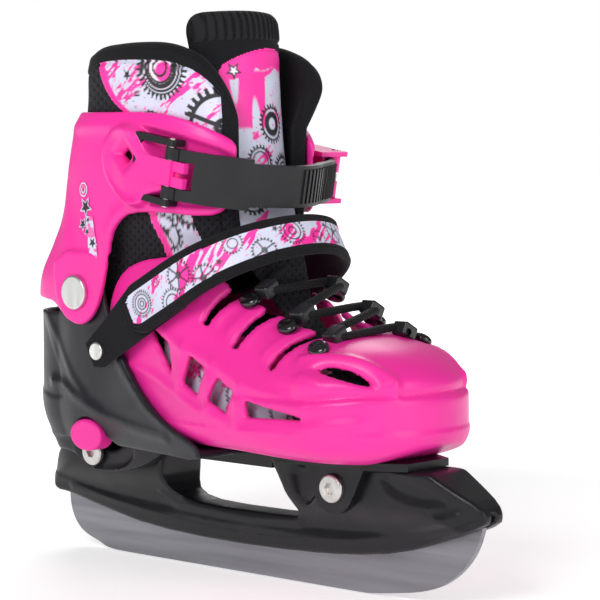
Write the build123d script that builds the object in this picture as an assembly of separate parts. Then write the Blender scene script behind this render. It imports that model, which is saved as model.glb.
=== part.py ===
"""Child's adjustable ice skate: hard shell boot, plastic blade holder and steel blade.

Millimetres. +X points to the toe, +Z up, -Y is the side with the size button and +Y the side
with the buckle lever. The origin is the centre of the blade's running edge, on the ice.
Every function below makes one kind of piece; main() writes one STEP file for each node.
"""

from build123d import *
from math import atan2, cos, degrees, pi, radians, sin, sqrt
import os

# Blade and holder
BLADE_THICKNESS = 3.0
BLADE_TIP_X = 128.6
BLADE_FLAT = (-85.0, 60.0)
RAIL_HALF = 7.5
POST_HALF = 14.0
POST_TOP_FRONT = 58.2
POST_TOP_REAR = 52.0

# Through bolts that join the holder to the boot
BOLT_RADIUS = 3.0
BOLT_HEAD_RADIUS = 6.5
BOLT_HEAD_HEIGHT = 2.5
FRONT_BOLT = (59.0, 48.0)
REAR_BOLT = (-89.0, 51.0)
FRONT_LUG_HALF = 18.0
REAR_LUG_HALF = 22.0

# Sole plate and toe shell
PAD_BOTTOM = 58.2
PAD_TOP = 61.6
SHELL_FLOOR = 62.0
SHELL_WALL = 3.0
SHELL_WIDEST_Z = 84.0
SIZE_TRAVEL = 20.0
# x station: (half width, crown height, roundness of the arch)
SHELL_STATIONS = {
    -72.0: (32.6, 180.0, 3.0),
    -45.0: (36.0, 178.0, 3.0),
    -20.0: (40.5, 162.0, 2.8),
    0.0: (44.0, 142.0, 2.3),
    30.0: (46.3, 126.0, 2.2),
    50.0: (46.4, 117.0, 2.5),
    66.0: (44.6, 113.5, 2.8),
    82.0: (39.5, 111.5, 3.0),
    94.0: (31.5, 107.5, 3.0),
    101.5: (21.5, 102.0, 2.6),
    105.5: (10.0, 94.0, 2.2),
}

# Heel base
HEEL_WALL = 3.2
HEEL_FLOOR = (58.0, 61.0)
HEEL_CENTRE_X = -103.5
HEEL_RADIUS = 31.0
EAR_OUTSIDE = 36.2
EAR_FLAT = 36.9
HEEL_SIDE = [(-81.0, EAR_OUTSIDE), (-64.0, 37.3), (-50.0, 39.5), (-20.0, 44.4), (2.0, 48.0)]
LINER_BOTTOM = 68.5

# Ankle hinge of the cuff
ANKLE = (-81.0, 128.5)
ANKLE_SHANK = 4.0
ANKLE_HEAD = 8.0
CUFF_INSIDE = 37.3
CUFF_OUTSIDE = 40.4
RUNNING_GAP = 0.06

# Size button and its latch
BUTTON = (-80.0, 61.0)
BUTTON_SIZE = (21.0, 15.0)
BUTTON_FACE = -36.6
BUTTON_BACK = -28.0
BUTTON_TRAVEL = 3.5
RACK_Z = (65.2, 68.0)
RACK_PITCH = 5.0

# Ratchet strap, in its own frame at the hinge pin (x along the strap, z along the pin)
PIN = (-16.0, -43.6, 185.0)
PIN_TILT = 10.0
STRAP_THICKNESS = 3.0
LEG_RADIUS = 45.0
LEG_CENTRE = (-8.0, 43.6)
TAIL_RADIUS = 88.5
TAIL_END = -10.0
RIB_PITCH = 3.2

# Rivets of the instep strap and its loop band
STRAP_RIVET = (-65.0, 102.0)
NEAR_RIVET_HEAD = 41.9
FAR_RIVET_HEAD = 42.5

# Instep strap, in a frame that climbs the instep
INSTEP_ORIGIN = (-5.0, 0.0, 139.0)
INSTEP_SLOPE = 28.0
INSTEP_HALF = 44.6
INSTEP_REACH = 39.5
INSTEP_WIDTH = 24.0
INSTEP_FRONT_WIDTH = 18.0
INSTEP_THICKNESS = 3.6
PEEL_LINE = -6.0
HOOK_THICKNESS = 0.6
BAND_THICKNESS = 0.6

# Laces
LACE_RADIUS = 1.9
LACE_LOOPS = [(22.0, 132.5), (43.0, 122.5), (62.0, 114.0)]
FAR_SHIFT = 6.0
LOOP_Y = 19.0


# ---------------------------------------------------------------- helpers


def side_prism(points, y_low, y_high):
    """A prism whose outline is given as (x, z) points."""
    outline = Polyline(*[(x, y_low, z) for x, z in points], close=True)
    return extrude(make_face(outline), amount=y_high - y_low, dir=(0, 1, 0))


def plan_prism(points, z_low, z_high):
    """A prism whose outline is given as (x, y) points."""
    outline = Polyline(*[(x, y, z_low) for x, y in points], close=True)
    return extrude(make_face(outline), amount=z_high - z_low, dir=(0, 0, 1))


def front_prism(points, x_low, x_high):
    """A prism whose outline is given as (y, z) points."""
    outline = Polyline(*[(x_low, y, z) for y, z in points], close=True)
    return extrude(make_face(outline), amount=x_high - x_low, dir=(1, 0, 0))


def block(x_low, x_high, y_low, y_high, z_low, z_high):
    middle = ((x_low + x_high) / 2, (y_low + y_high) / 2, (z_low + z_high) / 2)
    return Pos(*middle) * Box(x_high - x_low, y_high - y_low, z_high - z_low)


def rod_y(x, z, radius, y_low, y_high):
    return Pos(x, (y_low + y_high) / 2, z) * Rot(90, 0, 0) * Cylinder(radius, y_high - y_low)


def rod_z(x, y, radius, z_low, z_high):
    return Pos(x, y, (z_low + z_high) / 2) * Cylinder(radius, z_high - z_low)


def mirrored(points):
    """(x, y) points with y >= 0, and then their mirror images in reverse order."""
    return list(points) + [(x, -y) for x, y in reversed(points)]


def one_solid(shape):
    """The largest solid of a cut shape, without loose crumbs."""
    return max(shape.solids(), key=lambda solid: solid.volume)


def both_sides(shape):
    return shape + mirror(shape, about=Plane.XZ)


# ---------------------------------------------------------------- blade, holder and bolts


def blade():
    """Stainless runner: flat edge, upturned toe and heel, hidden tang with flow holes."""
    y = -BLADE_THICKNESS / 2
    flat_heel, flat_toe = BLADE_FLAT
    toe = [(flat_toe, 0), (82, 2.2), (106.5, 8.4), (121.5, 20.7), (BLADE_TIP_X, 36)]
    tang = [(BLADE_TIP_X, 36), (112, 38), (88, 30), (60, 26), (-17, 23), (-66, 25), (-101, 31)]
    heel = [(-BLADE_TIP_X, 26), (-126.5, 15), (-119.5, 7.2), (-108, 3.0), (flat_heel, 0)]

    def at(points):
        return [(x, y, z) for x, z in points]

    outline = [
        Line((flat_heel, y, 0), (flat_toe, y, 0)),
        Spline(*at(toe), tangents=[(1, 0, 0), (0.25, 0, 1)]),
        Polyline(*at(tang), (-120, y, 33), (-BLADE_TIP_X, y, 26)),
        Spline(*at(heel), tangents=[(0, 0, -1), (1, 0, 0)]),
    ]
    plate = extrude(make_face(outline), amount=BLADE_THICKNESS, dir=(0, 1, 0))
    for x in (-75, -25, 25, 75):
        plate -= rod_y(x, 19.2 + abs(x + 10) * 0.055, 2.4, -5, 5)
    return plate


def blade_holder(blade_solid):
    """Moulded holder: one rail with a front and a rear post, open between them."""
    side = [
        (-132, 27), (-123, 26.5), (-101, 22), (-66, 16), (-17, 14), (30, 15), (60, 17),
        (88, 21), (115, 30), (132, 37), (133.5, 41), (131, 45), (105, POST_TOP_FRONT),
        (18, POST_TOP_FRONT), (23, 49), (28, 39), (31, 31.5), (-34, 30.5), (-47, 34),
        (-52, 40), (-52, 49), (-50, POST_TOP_REAR), (-121, POST_TOP_REAR), (-128, 46),
        (-130, 38), (-133, 32),
    ]
    right = [(RAIL_HALF, 12), (RAIL_HALF, 31), (POST_HALF, 43), (POST_HALF, 60)]
    front = right + [(-y, z) for y, z in reversed(right)]
    plan = mirrored([(-134, 6), (-128, 10), (-118, POST_HALF), (96, POST_HALF), (120, 11), (135, 4)])
    body = side_prism(side, -20, 20) & front_prism(front, -140, 140) & plan_prism(plan, 10, 60)
    body -= blade_solid
    for x, z in (FRONT_BOLT, REAR_BOLT):
        body -= rod_y(x, z, BOLT_RADIUS, -30, 30)
    for x_low, x_high in ((78, 98), (-118, -100)):
        pocket = block(x_low, x_high, 9, 20, 40, 47)
        body -= pocket
        body -= mirror(pocket, about=Plane.XZ)
    return one_solid(body)


def sole_plate():
    """Stiff plate below the foot: wide pad, narrow bar to the heel and a fork for the bolt."""
    pad = plan_prism(mirrored([(8, 11), (24, 22), (80, 24), (98, 14)]), PAD_BOTTOM, PAD_TOP)
    bar = block(-64, 16.5, -11, 11, POST_TOP_REAR, PAD_BOTTOM)
    bolt_x, bolt_z = FRONT_BOLT
    cheek = side_prism([(42, PAD_BOTTOM), (47.5, 45), (70.5, 45), (77, PAD_BOTTOM)], POST_HALF, FRONT_LUG_HALF)
    cheek += rod_y(bolt_x, bolt_z, 11.5, POST_HALF, FRONT_LUG_HALF)
    body = pad + bar + both_sides(cheek)
    body -= rod_y(bolt_x, bolt_z, BOLT_RADIUS, -30, 30)
    for y in (-12, 12):
        body -= rod_z(62, y, 2.0, 50, 70)
    return one_solid(body - rod_z(-56, 0, 2.0, 50, 62))


def through_bolt(centre, half_width):
    """Button-head bolt with a hexagon socket; its head is on the -Y side."""
    x, z = centre
    head = rod_y(x, z, BOLT_HEAD_RADIUS, -half_width - BOLT_HEAD_HEIGHT, -half_width)
    head = fillet(head.edges().filter_by(GeomType.CIRCLE).group_by(Axis.Y)[0], 1.4)
    shank = rod_y(x, z, BOLT_RADIUS, -half_width, half_width - 3)
    hexagon = extrude(Plane.XZ * RegularPolygon(2.9, 6), amount=2.2)
    return head + shank - Pos(x, -half_width - 0.6, z) * hexagon


def sleeve_nut(centre, half_width):
    """The matching cap nut on the +Y side, drilled for the bolt's end."""
    x, z = centre
    cap = rod_y(x, z, BOLT_HEAD_RADIUS, half_width, half_width + BOLT_HEAD_HEIGHT)
    cap = fillet(cap.edges().filter_by(GeomType.CIRCLE).group_by(Axis.Y)[-1], 1.4)
    plug = rod_y(x, z, BOLT_RADIUS, half_width - 3, half_width)
    hexagon = extrude(Plane.XZ * RegularPolygon(2.9, 6), amount=2.2)
    return cap + plug - Pos(x, half_width + BOLT_HEAD_HEIGHT + 0.3, z) * hexagon


# ---------------------------------------------------------------- heel base


def heel_outline(z, inset):
    """Plan of the heel base: half circle round the heel, then sides that widen forward."""
    radius = HEEL_RADIUS - inset
    steps = [pi * k / 8 for k in range(5)]
    half = [(HEEL_CENTRE_X - radius * cos(a), radius * sin(a)) for a in steps]
    half += [(x, y - inset) for x, y in HEEL_SIDE]
    points = [(x, -y, z) for x, y in reversed(half)] + [(x, y, z) for x, y in half[1:]]
    return make_face([Spline(*points), Line(points[-1], points[0])])


def heel_lug():
    """Block below the heel that straddles the holder's rear post."""
    side = [
        (-122, 50), (-104, 51), (-95, 43), (-81, 42), (-62, 45), (-47, 51), (-38, HEEL_FLOOR[0] + 1),
        (-130, HEEL_FLOOR[0] + 1),
    ]
    lug = side_prism(side, -REAR_LUG_HALF, REAR_LUG_HALF)
    lug &= extrude(heel_outline(38, 7.5), amount=30)
    lug -= block(-140, -30, -POST_HALF, POST_HALF, 30, POST_TOP_REAR)
    return lug


def heel_base():
    """Moulded heel shell with ankle ears, a floor, the lug and the button's housing."""
    floor_low, floor_high = HEEL_FLOOR
    outside = loft([heel_outline(floor_low, 5.0), heel_outline(66, 1.4), heel_outline(74, 0)], ruled=True)
    outside += extrude(heel_outline(74, 0), amount=72)
    inside = extrude(heel_outline(floor_high, HEEL_WALL + 1.6), amount=10)
    inside += extrude(heel_outline(69, HEEL_WALL), amount=80)
    side = [
        (-140, 57), (-140, 117), (-101, 117), (-96, 124), (-96, 134), (-90, 142), (-74, 142), (-67, 134),
        (-65, 121), (-59, 109), (-49, 96), (-36, 83), (-20, 73), (-4, 66), (1, 63), (1, 57),
    ]
    shell = (outside - inside) & side_prism(side, -60, 60)
    bx, bz = BUTTON
    housing = block(bx - 13.5, bx + 13.5, -31, -17, 51, 70.5) & extrude(heel_outline(50, 4.0), amount=22)
    ribs = both_sides(block(-120, -98, 15, 22, floor_low + 1, LINER_BOTTOM))
    body = shell + heel_lug() + housing + ribs
    # channel for the sole plate's bar, bore of the button, channel of its latch arm
    body -= block(-64, 10, -11, 11, POST_TOP_REAR - 1, PAD_BOTTOM)
    body -= button_bore()
    body -= block(bx - 6.3, bx + 6.3, BUTTON_BACK - 1, 3, floor_high - 1.9, floor_high + 12)
    body -= rod_y(*REAR_BOLT, BOLT_RADIUS, -40, 40)
    body -= rod_y(*REAR_BOLT, BOLT_HEAD_RADIUS + 0.6, -60, -REAR_LUG_HALF)
    body -= rod_y(*REAR_BOLT, BOLT_HEAD_RADIUS + 0.6, REAR_LUG_HALF, 60)
    body -= both_sides(block(-102, -60, EAR_FLAT, 60, 110, 150))
    body -= rod_y(*ANKLE, ANKLE_SHANK, -60, 60)
    body -= rod_y(*ANKLE, ANKLE_SHANK + 2.0, -EAR_OUTSIDE + HEEL_WALL, EAR_OUTSIDE - HEEL_WALL)
    body -= rod_z(-56, 0, 4.0, HEEL_FLOOR[1] - 1, HEEL_FLOOR[1] + 2)
    body -= rod_y(*STRAP_RIVET, 1.8, -60, 60)
    body -= rod_z(-56, 0, 2.0, 50, 62)
    return one_solid(body)


def button_bore():
    """Oval bore in the housing, 0.4 mm wider than the button all round."""
    x, z = BUTTON
    width, height = BUTTON_SIZE
    oval = Plane.XZ * Ellipse(width / 2 + 0.4, height / 2 + 0.4)
    return Pos(x, -60, z) * Rot(0, 0, 180) * extrude(oval, amount=39)


# ---------------------------------------------------------------- size adjuster


def size_button():
    """Oval push button with a crowned face."""
    x, z = BUTTON
    width, height = BUTTON_SIZE
    oval = Plane.XZ * Ellipse(width / 2, height / 2)
    cap = extrude(oval, amount=BUTTON_BACK - BUTTON_FACE)
    cap = fillet(cap.edges().group_by(Axis.Y)[0], 1.6)
    return Pos(x, BUTTON_BACK, z) * cap


def size_latch():
    """Latch arm behind the button, with an upright tooth inside the rack's window."""
    x = BUTTON[0]
    low = HEEL_FLOOR[1] - 1.5
    arm = block(x - 5.5, x + 5.5, BUTTON_BACK, -4.5, low, low + 1.8)
    back = block(x - 5.5, x + 5.5, BUTTON_BACK, BUTTON_BACK + 1.6, low, 66.5)
    tooth = plan_prism([(x - 3, -4.5), (x - 0.8, -8.5), (x + 0.8, -8.5), (x + 3, -4.5)], low, RACK_Z[1] - 0.6)
    return arm + back + tooth


def button_spring():
    """Compression spring that pushes the button outward."""
    coil = Helix(pitch=1.5, height=4.8, radius=2.6)
    start = coil @ 0
    wire = sweep(Plane(start, z_dir=coil % 0) * Circle(0.35), path=coil)
    return Pos(BUTTON[0], -20.9, 64.6) * Rot(90, 0, 0) * wire


def adjuster_rack():
    """Toothed bar of the toe shell; its window has one notch for each size."""
    bar = block(-106, -24, -14, 14, *RACK_Z)
    window = block(-104, -58, -9.0, 1.0, 60, 70)
    for k in range(5):
        x = BUTTON[0] - k * RACK_PITCH
        window += plan_prism([(x - 2.2, -8.9), (x - 1, -12), (x + 1, -12), (x + 2.2, -8.9)], 60, 70)
    body = bar - window
    for x in (-42, -30):
        body -= rod_z(x, 8, 1.8, 60, 70)
        body -= rod_z(x, -8, 1.8, 60, 70)
    return body


def rack_screws():
    screws = [rod_z(x, y, 1.8, SHELL_FLOOR + 0.3, RACK_Z[1]) for x in (-42, -30) for y in (-8, 8)]
    return Compound(screws)


def slide_screws():
    """Shoulder screws that hold the toe shell down and let it slide."""
    made = []
    for y in (-12, 12):
        shank = rod_z(62, y, 2.0, PAD_BOTTOM + 0.4, PAD_TOP)
        shoulder = rod_z(62, y, 3.0, PAD_TOP, SHELL_FLOOR + SHELL_WALL + 0.5)
        head = rod_z(62, y, 5.5, SHELL_FLOOR + SHELL_WALL + 0.5, SHELL_FLOOR + SHELL_WALL + 2.3)
        made.append(shank + shoulder + head)
    return Compound(made)


def sole_screw():
    return rod_z(-56, 0, 2.0, POST_TOP_REAR + 0.5, HEEL_FLOOR[1] - 1) + rod_z(
        -56, 0, 4.0, HEEL_FLOOR[1] - 1, HEEL_FLOOR[1] + 1.5
    )


# ---------------------------------------------------------------- toe shell


def shell_section(x, half, crown, roundness, floor, widest):
    """Right half of an arched cross-section: flat floor, rounded corner, arched top."""
    corner = min(1.0, half / 25)
    points = [(x, half - 9.0 * corner, floor), (x, half - 3.2 * corner, floor + 3.0), (x, half - 0.9, floor + 9)]
    for k in range(5):
        a = radians(22.5 * k)
        y = half * max(cos(a), 0.0) ** (2 / roundness)
        z = widest + (crown - widest) * sin(a) ** (2 / roundness)
        points.append((x, y, z))
    points[-1] = (x, 0.0, crown)
    arch = Spline(*points, tangents=[(0, 1, 0), (0, -1, 0)])
    return make_face([Line((x, 0, floor), points[0]), arch, Line(points[-1], (x, 0, floor))])


def shell_solid(inset, shift=0.0):
    """Right half of the toe shell's outer form, or of a smaller copy of it `inset` inside."""
    sections = []
    for x, (half, crown, roundness) in SHELL_STATIONS.items():
        place = x + shift if x < 0 else x + shift - inset * max(0.0, (x - 60) / 45)
        small = half - inset if half > 3 * inset else half * 0.66
        widest = SHELL_WIDEST_Z if x < 90 else SHELL_WIDEST_Z + 1
        sections.append(
            shell_section(place, small, crown - inset, roundness, SHELL_FLOOR + inset, widest)
        )
    return loft(sections)


def shell_side():
    """Side view that the shell keeps: sloping back edge, wing and toe."""
    return side_prism(
        [
            (-50, 60), (-58, 78), (-66, 98), (-68, 118), (-65, 131), (-58, 140), (-46, 144.5),
            (-35, 146), (-24, 147), (-15, 141), (-6, 133.5), (120, 133.5), (120, 60),
        ],
        -60,
        60,
    )


def throat_cut():
    """Opening over the instep that the tongue and the laces fill."""
    plan = mirrored([(-90, 24), (-40, 26), (-12, 25), (6, 22.5), (50, 18), (60, 11), (63, 0.01)])
    return plan_prism(plan, 96, 200)


def shell_cuts():
    """Vents: three slots, four windows and one toe vent on each side, and the screw slots."""
    cuts = []
    for x, low in ((5.5, 120), (26, 112), (46.5, 103)):
        cuts.append(Pos(x, 30, 0) * Rot(0, 0, 18) * block(-2.2, 2.2, -16, 20, low, 150))
    windows = [
        [(-27, 112), (-18, 106), (-18, 98)],
        [(-4, 103), (4, 98), (0, 88), (-8, 92)],
        [(15, 94), (23, 89), (20, 81), (10, 85)],
        [(34, 86), (64, 81), (34, 80)],
    ]
    for points in windows:
        cuts.append(side_prism(points, 30, 60))
    cuts.append(plan_prism([(58, 27), (70, 22), (86, 22), (90, 24), (78, 30), (66, 31)], 95, 120))
    return cuts


def toe_shell():
    """Hard toe shell, hollow and open above the instep and at the back."""
    body = shell_solid(0) - shell_solid(SHELL_WALL)
    body &= shell_side()
    body -= throat_cut()
    for cut in shell_cuts():
        body -= cut
    body -= block(62 - SIZE_TRAVEL, 62, 12 - 3.3, 12 + 3.3, 60, 66)
    body -= rod_z(62, 12, 3.3, 60, 66) + rod_z(62 - SIZE_TRAVEL, 12, 3.3, 60, 66)
    for x in (-42, -30):
        body -= rod_z(x, 8, 1.8, SHELL_FLOOR, 66)
    body -= block(-70, -50.5, -1, 30, 60, 66)
    return one_solid(both_sides(one_solid(body)))


# ---------------------------------------------------------------- liner


def liner_vamp():
    """Soft boot round the foot, small enough to let the shell slide over it."""
    outside = vamp_form(0)
    inside = vamp_form(5.0)
    top_way = plan_prism(mirrored([(-124, 0.01), (-116, 15), (-100, 23), (-5, 25), (20, 16), (24, 0.01)]), 98, 200)
    body = both_sides((outside - inside) & block(-140, 110, -1, 60, 60, 120))
    bx = BUTTON[0]
    body -= block(bx - 14.0, bx + 14.0, -60, -16.5, 60, 71.0)
    body -= block(-72, 26, -60, 60, 96, 140) + block(20, 50, -60, 60, 109, 140)
    body -= block(-72, -36, -60, 60, 92, 140)
    return one_solid(body - top_way)


def vamp_form(inset):
    """Right half of the foot's form, lofted through cross-sections from heel to toe."""
    stations = [
        (-127.5, 9.0, 110), (-122, 17.5, 126), (-112, 24.0, 130), (-98, 27.2, 132), (-75, 29.0, 136),
        (-45, 30.0, 138), (-15, 32.8, 130), (10, 36.3, 120), (40, 38.4, 108), (62, 38.4, 103),
        (76, 34.5, 102), (86, 27.0, 99), (93, 17.0, 94),
    ]
    sections = []
    for x, half, crown in stations:
        at = x + inset if x < -100 else x - inset if x > 85 else x
        small = max(half - inset, half * 0.5)
        sections.append(shell_section(at, small, crown - inset, 2.4, LINER_BOTTOM + inset * 0.5, 88))
    return loft(sections)


def footbed():
    """Flat insole with rounded ends."""
    low = LINER_BOTTOM + 2.6
    half = [(-118, 0.01), (-112, 12), (-98, 17), (-40, 18), (30, 24), (60, 24), (80, 14), (84, 0.01)]
    return one_solid(plan_prism(mirrored(half), low, low + 3.5) & both_sides(vamp_form(5.5)))


def leg_oval(z, back, front, half, squareness=2.6):
    """Superellipse round the shin at height z."""
    middle, reach = (back + front) / 2, (front - back) / 2
    points = []
    for k in range(16):
        a = 2 * pi * k / 16
        c, s = cos(a), sin(a)
        x = middle + reach * (1 if c >= 0 else -1) * abs(c) ** (2 / squareness)
        y = half * (1 if s >= 0 else -1) * abs(s) ** (2 / squareness)
        points.append((x, y, z))
    return make_face(Spline(*points, periodic=True))


def liner_collar():
    """Padded collar round the ankle, open at the front for the tongue."""
    outer = [
        (124.4, -118, 12, 29.6), (147, -112.5, 14, 30.2), (160, -109.5, 14, 34.4), (190, -102.5, 14, 36.4),
        (213, -96, 14, 36.4),
        (232, -91, 14, 38.5), (245, -86, 10, 37.0),
    ]
    inner = [(z, back + 7.5, front + 14, half - 7.5) for z, back, front, half in outer]
    inner[0] = (120.0, *inner[0][1:])
    inner[-1] = (250.0, *inner[-1][1:])
    body = loft([leg_oval(*row) for row in outer]) - loft([leg_oval(*row) for row in inner])
    rim = side_prism([(-130, 120), (30, 120), (30, 214), (18, 226), (4, 234), (-10, 241), (-30, 244),
                      (-62, 243), (-80, 240), (-100, 236), (-130, 235)], -60, 60)
    gap = plan_prism([(-14, -27.5), (60, -31), (60, 31), (-14, 27.5)], 100, 300)
    keep_clear = side_prism(
        [(-72, 100), (-72, 136), (-62, 147), (-50, 151.5), (-24, 153), (60, 153), (60, 100)], -60, 60
    )
    return one_solid((body & rim) - gap - keep_clear)


def tongue_top():
    """Upper part of the padded tongue: a curved plate up the shin."""

    def c_section(z, centre, outside, inside):
        spread = radians(56)
        angles = [spread * (k / 4 - 1) for k in range(9)]
        outer = [(centre + outside * cos(a), outside * sin(a), z) for a in angles]
        inner = [(centre + inside * cos(a), inside * sin(a), z) for a in reversed(angles)]
        edges = [Spline(*outer), Line(outer[-1], inner[0]), Spline(*inner), Line(inner[-1], outer[0])]
        return make_face(edges)

    upper = loft(
        [c_section(156, -20, 33, 25), c_section(166, -23, 33, 25.5), c_section(190, -29, 33, 25),
         c_section(215, -31, 33, 25.5), c_section(240, -33.5, 34, 26), c_section(256, -36, 33.5, 27)]
    )
    crown = [(-70, 140), (30, 140), (30, 230), (4, 252), (-3, 255.5), (-20, 255.5), (-34, 250), (-70, 240)]
    return one_solid(upper & side_prism(crown, -40, 40))


def tongue_base():
    """Lower part of the tongue, along the instep below the laces."""
    side = [
        (60, 107.5), (44, 113.5), (30, 122.5), (22, 131.5), (17.5, 146), (6, 146), (4, 140), (12, 122),
        (36, 108), (58, 103),
    ]
    return one_solid(side_prism(side, -13.5, 13.5) - both_sides(vamp_form(0)))


# ---------------------------------------------------------------- cuff and its hinge


def cuff_solid(inset):
    rows = [
        (110, -126, 20.5, 39.4, 3.6), (135, -126, 20.5, 39.6, 3.4), (150, -119, 20.5, 40.2, 3.0),
        (166, -113, 18.5, 40.6, 2.7), (190, -108, 16.5, 41.0, 2.6), (215, -99.5, 15.5, 40.4, 2.6),
    ]
    return loft(
        [leg_oval(z, back + inset, front - inset, half - inset, sq) for z, back, front, half, sq in rows]
    )


def cuff():
    """Hinged shin cuff: back wall, side lugs on the ankle rivets and two front wings."""
    body = cuff_solid(0) - cuff_solid(3.0)
    side = [
        (-140, 124), (-106, 124), (-98, 122), (-92, 117), (-86, 113.8), (-81, 113), (-75, 114.5), (-69, 120),
        (-64, 131), (-60, 144), (-58, 155), (-53, 162), (-45, 166.5), (-25, 167.5), (4, 168), (12, 190),
        (12, 204), (-3, 209), (-14, 212.5), (-68, 212.5), (-140, 214),
    ]
    body &= side_prism(side, -60, 60)
    front_gap = plan_prism([(-4, -25), (40, -25), (40, 25), (-4, 25)], 100, 230)
    body -= front_gap
    body -= block(-101, -54, -CUFF_INSIDE, CUFF_INSIDE, 100, 147)
    lug_side = [(-95, 126), (-90, 117), (-81, 113), (-74, 115), (-68, 121), (-64, 131), (-60, 146), (-95, 146)]
    lug = side_prism(lug_side, CUFF_INSIDE, CUFF_OUTSIDE)
    body += both_sides(lug)
    body -= rod_y(*ANKLE, ANKLE_SHANK + RUNNING_GAP, -60, 60)
    return one_solid(body)


def ankle_rivet(side):
    """Shouldered rivet: wide flat head outside, small head inside the heel base."""
    x, z = ANKLE
    outside, ear_in = CUFF_OUTSIDE + 0.4, EAR_OUTSIDE - HEEL_WALL
    head = rod_y(x, z, ANKLE_HEAD, outside, outside + 2.0)
    head = fillet(head.edges().filter_by(GeomType.CIRCLE).group_by(Axis.Y)[-1], 0.9)
    rivet = head + rod_y(x, z, ANKLE_SHANK, ear_in, outside)
    rivet += rod_y(x, z, ANKLE_SHANK + 1.5, ear_in - 1.0, ear_in)
    return rivet if side > 0 else mirror(rivet, about=Plane.XZ)


def strap_rivets():
    """Small rivets that hold the instep strap and its loop band to the heel base."""
    x, z = STRAP_RIVET
    made = []
    for side, low in ((-1, NEAR_RIVET_HEAD), (1, FAR_RIVET_HEAD)):
        head = rod_y(x, z, 4.2, low, low + 1.6)
        head = fillet(head.edges().filter_by(GeomType.CIRCLE).group_by(Axis.Y)[-1], 0.8)
        rivet = head + rod_y(x, z, 1.8, EAR_FLAT - 2.0, low)
        made.append(rivet if side > 0 else mirror(rivet, about=Plane.XZ))
    return Compound(made)


# ---------------------------------------------------------------- ratchet strap and buckle


def strap_frame():
    """Location of the strap's own frame: origin on the pin, z along it."""
    return Location(PIN) * Rot(0, PIN_TILT, 0)


def strap_path(step_degrees=3.0):
    """Centre line (x, y) and outward normals: round the leg, then concentric with the pin."""
    cx, cy = LEG_CENTRE
    points = []
    angle = 12.0
    while angle <= 121.0:
        a = radians(angle)
        points.append((cx + LEG_RADIUS * sin(a), cy - LEG_RADIUS * cos(a), sin(a), -cos(a)))
        angle += step_degrees
    points += bend_to_tail(points[-1])
    for k in range(8):
        a = radians(10.0 + (TAIL_END - 10.0) * k / 7)
        points.append((TAIL_RADIUS * sin(a), TAIL_RADIUS * cos(a), sin(a), cos(a)))
    return points


def bend_to_tail(last):
    """Points of the quarter turn between the leg's circle and the tail's circle."""
    x, y, nx, ny = last
    start = atan2(ny, nx)
    end = radians(90 - 13.0)
    goal = (TAIL_RADIUS * cos(end), TAIL_RADIUS * sin(end))
    made = []
    for k in range(1, 12):
        t = k / 12
        px = (1 - t) ** 2 * x + 2 * t * (1 - t) * (goal[0] + 5.5) + t * t * goal[0]
        py = (1 - t) ** 2 * y + 2 * t * (1 - t) * (goal[1] - 3.5) + t * t * goal[1]
        a = start + (end - start) * t
        made.append((px, py, cos(a), sin(a)))
    return made


def strap_band(path, low, high, thickness):
    """Extruded band of even thickness along the path."""
    t = thickness / 2
    outer = [(x + nx * t, y + ny * t) for x, y, nx, ny in path]
    inner = [(x - nx * t, y - ny * t) for x, y, nx, ny in reversed(path)]
    return plan_prism(outer + inner, low, high)


def ladder_strap():
    """Ratchet strap: forked hinge end, smooth plate, ribbed front and tail."""
    path = strap_path()
    body = strap_band(path, -9.5, 9.5, STRAP_THICKNESS)
    body += strap_band(path[:17], -11.5, 11.5, STRAP_THICKNESS)
    body -= block(-8, 13, -6, 8, -6.2, 6.2)
    for low in (-11.5, 6.2):
        knuckle = Cylinder(2.6, 5.3, align=(Align.CENTER, Align.CENTER, Align.MIN))
        body += Pos(0, 0, low) * knuckle + block(0, 6, -1.5, 1.5, low, low + 5.3)
    body -= Cylinder(1.5 + RUNNING_GAP, 60)
    for x, y, nx, ny in rib_places(path):
        rib = Box(1.0, 1.5, 15.5)
        body += Pos(x + nx * 1.7, y + ny * 1.7, 0) * Rot(0, 0, degrees(atan2(ny, nx))) * rib
    return strap_frame() * one_solid(body)


def rib_places(path):
    """Evenly spaced points on the band from the front to the tail's end."""
    made, run, due = [], 0.0, 0.0
    for (x0, y0, nx0, ny0), (x1, y1, nx1, ny1) in zip(path[28:-1], path[29:]):
        length = sqrt((x1 - x0) ** 2 + (y1 - y0) ** 2)
        while due <= run + length:
            t = (due - run) / length
            made.append((x0 + (x1 - x0) * t, y0 + (y1 - y0) * t, nx0 + (nx1 - nx0) * t, ny0 + (ny1 - ny0) * t))
            due += RIB_PITCH
        run += length
    return made[:-1]


def strap_anchor(cuff_form):
    """Black two-pronged anchor on the cuff that carries the hinge pin."""
    made = []
    for low in (12.0, -15.0):
        prong = block(-21, 2.4, -1.6, 6, low, low + 3.0)
        prong += Pos(0, 0, low) * Cylinder(2.6, 3.0, align=(Align.CENTER, Align.CENTER, Align.MIN))
        made.append(prong)
    bridge = block(-22, -18, -1.6, 6, -15.0, 15.0)
    body = made[0] + made[1] + bridge - Cylinder(1.5, 60)
    return one_solid(strap_frame() * body - cuff_form)


def strap_arm(cuff_form):
    """Comb-ended arm of the cuff that lies in the strap's fork and also holds the pin."""
    arm = block(-17, 2.5, -1.9, 6, -5.8, 5.8) + block(2.4, 10, -1.0, 2.0, -5.8, 5.8)
    arm -= block(3.5, 11, -5, 5, -1.2, 1.2) + Cylinder(1.5, 60)
    return one_solid(strap_frame() * arm - cuff_form)


def hinge_pin():
    return strap_frame() * Cylinder(1.5, 31.0)


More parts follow.
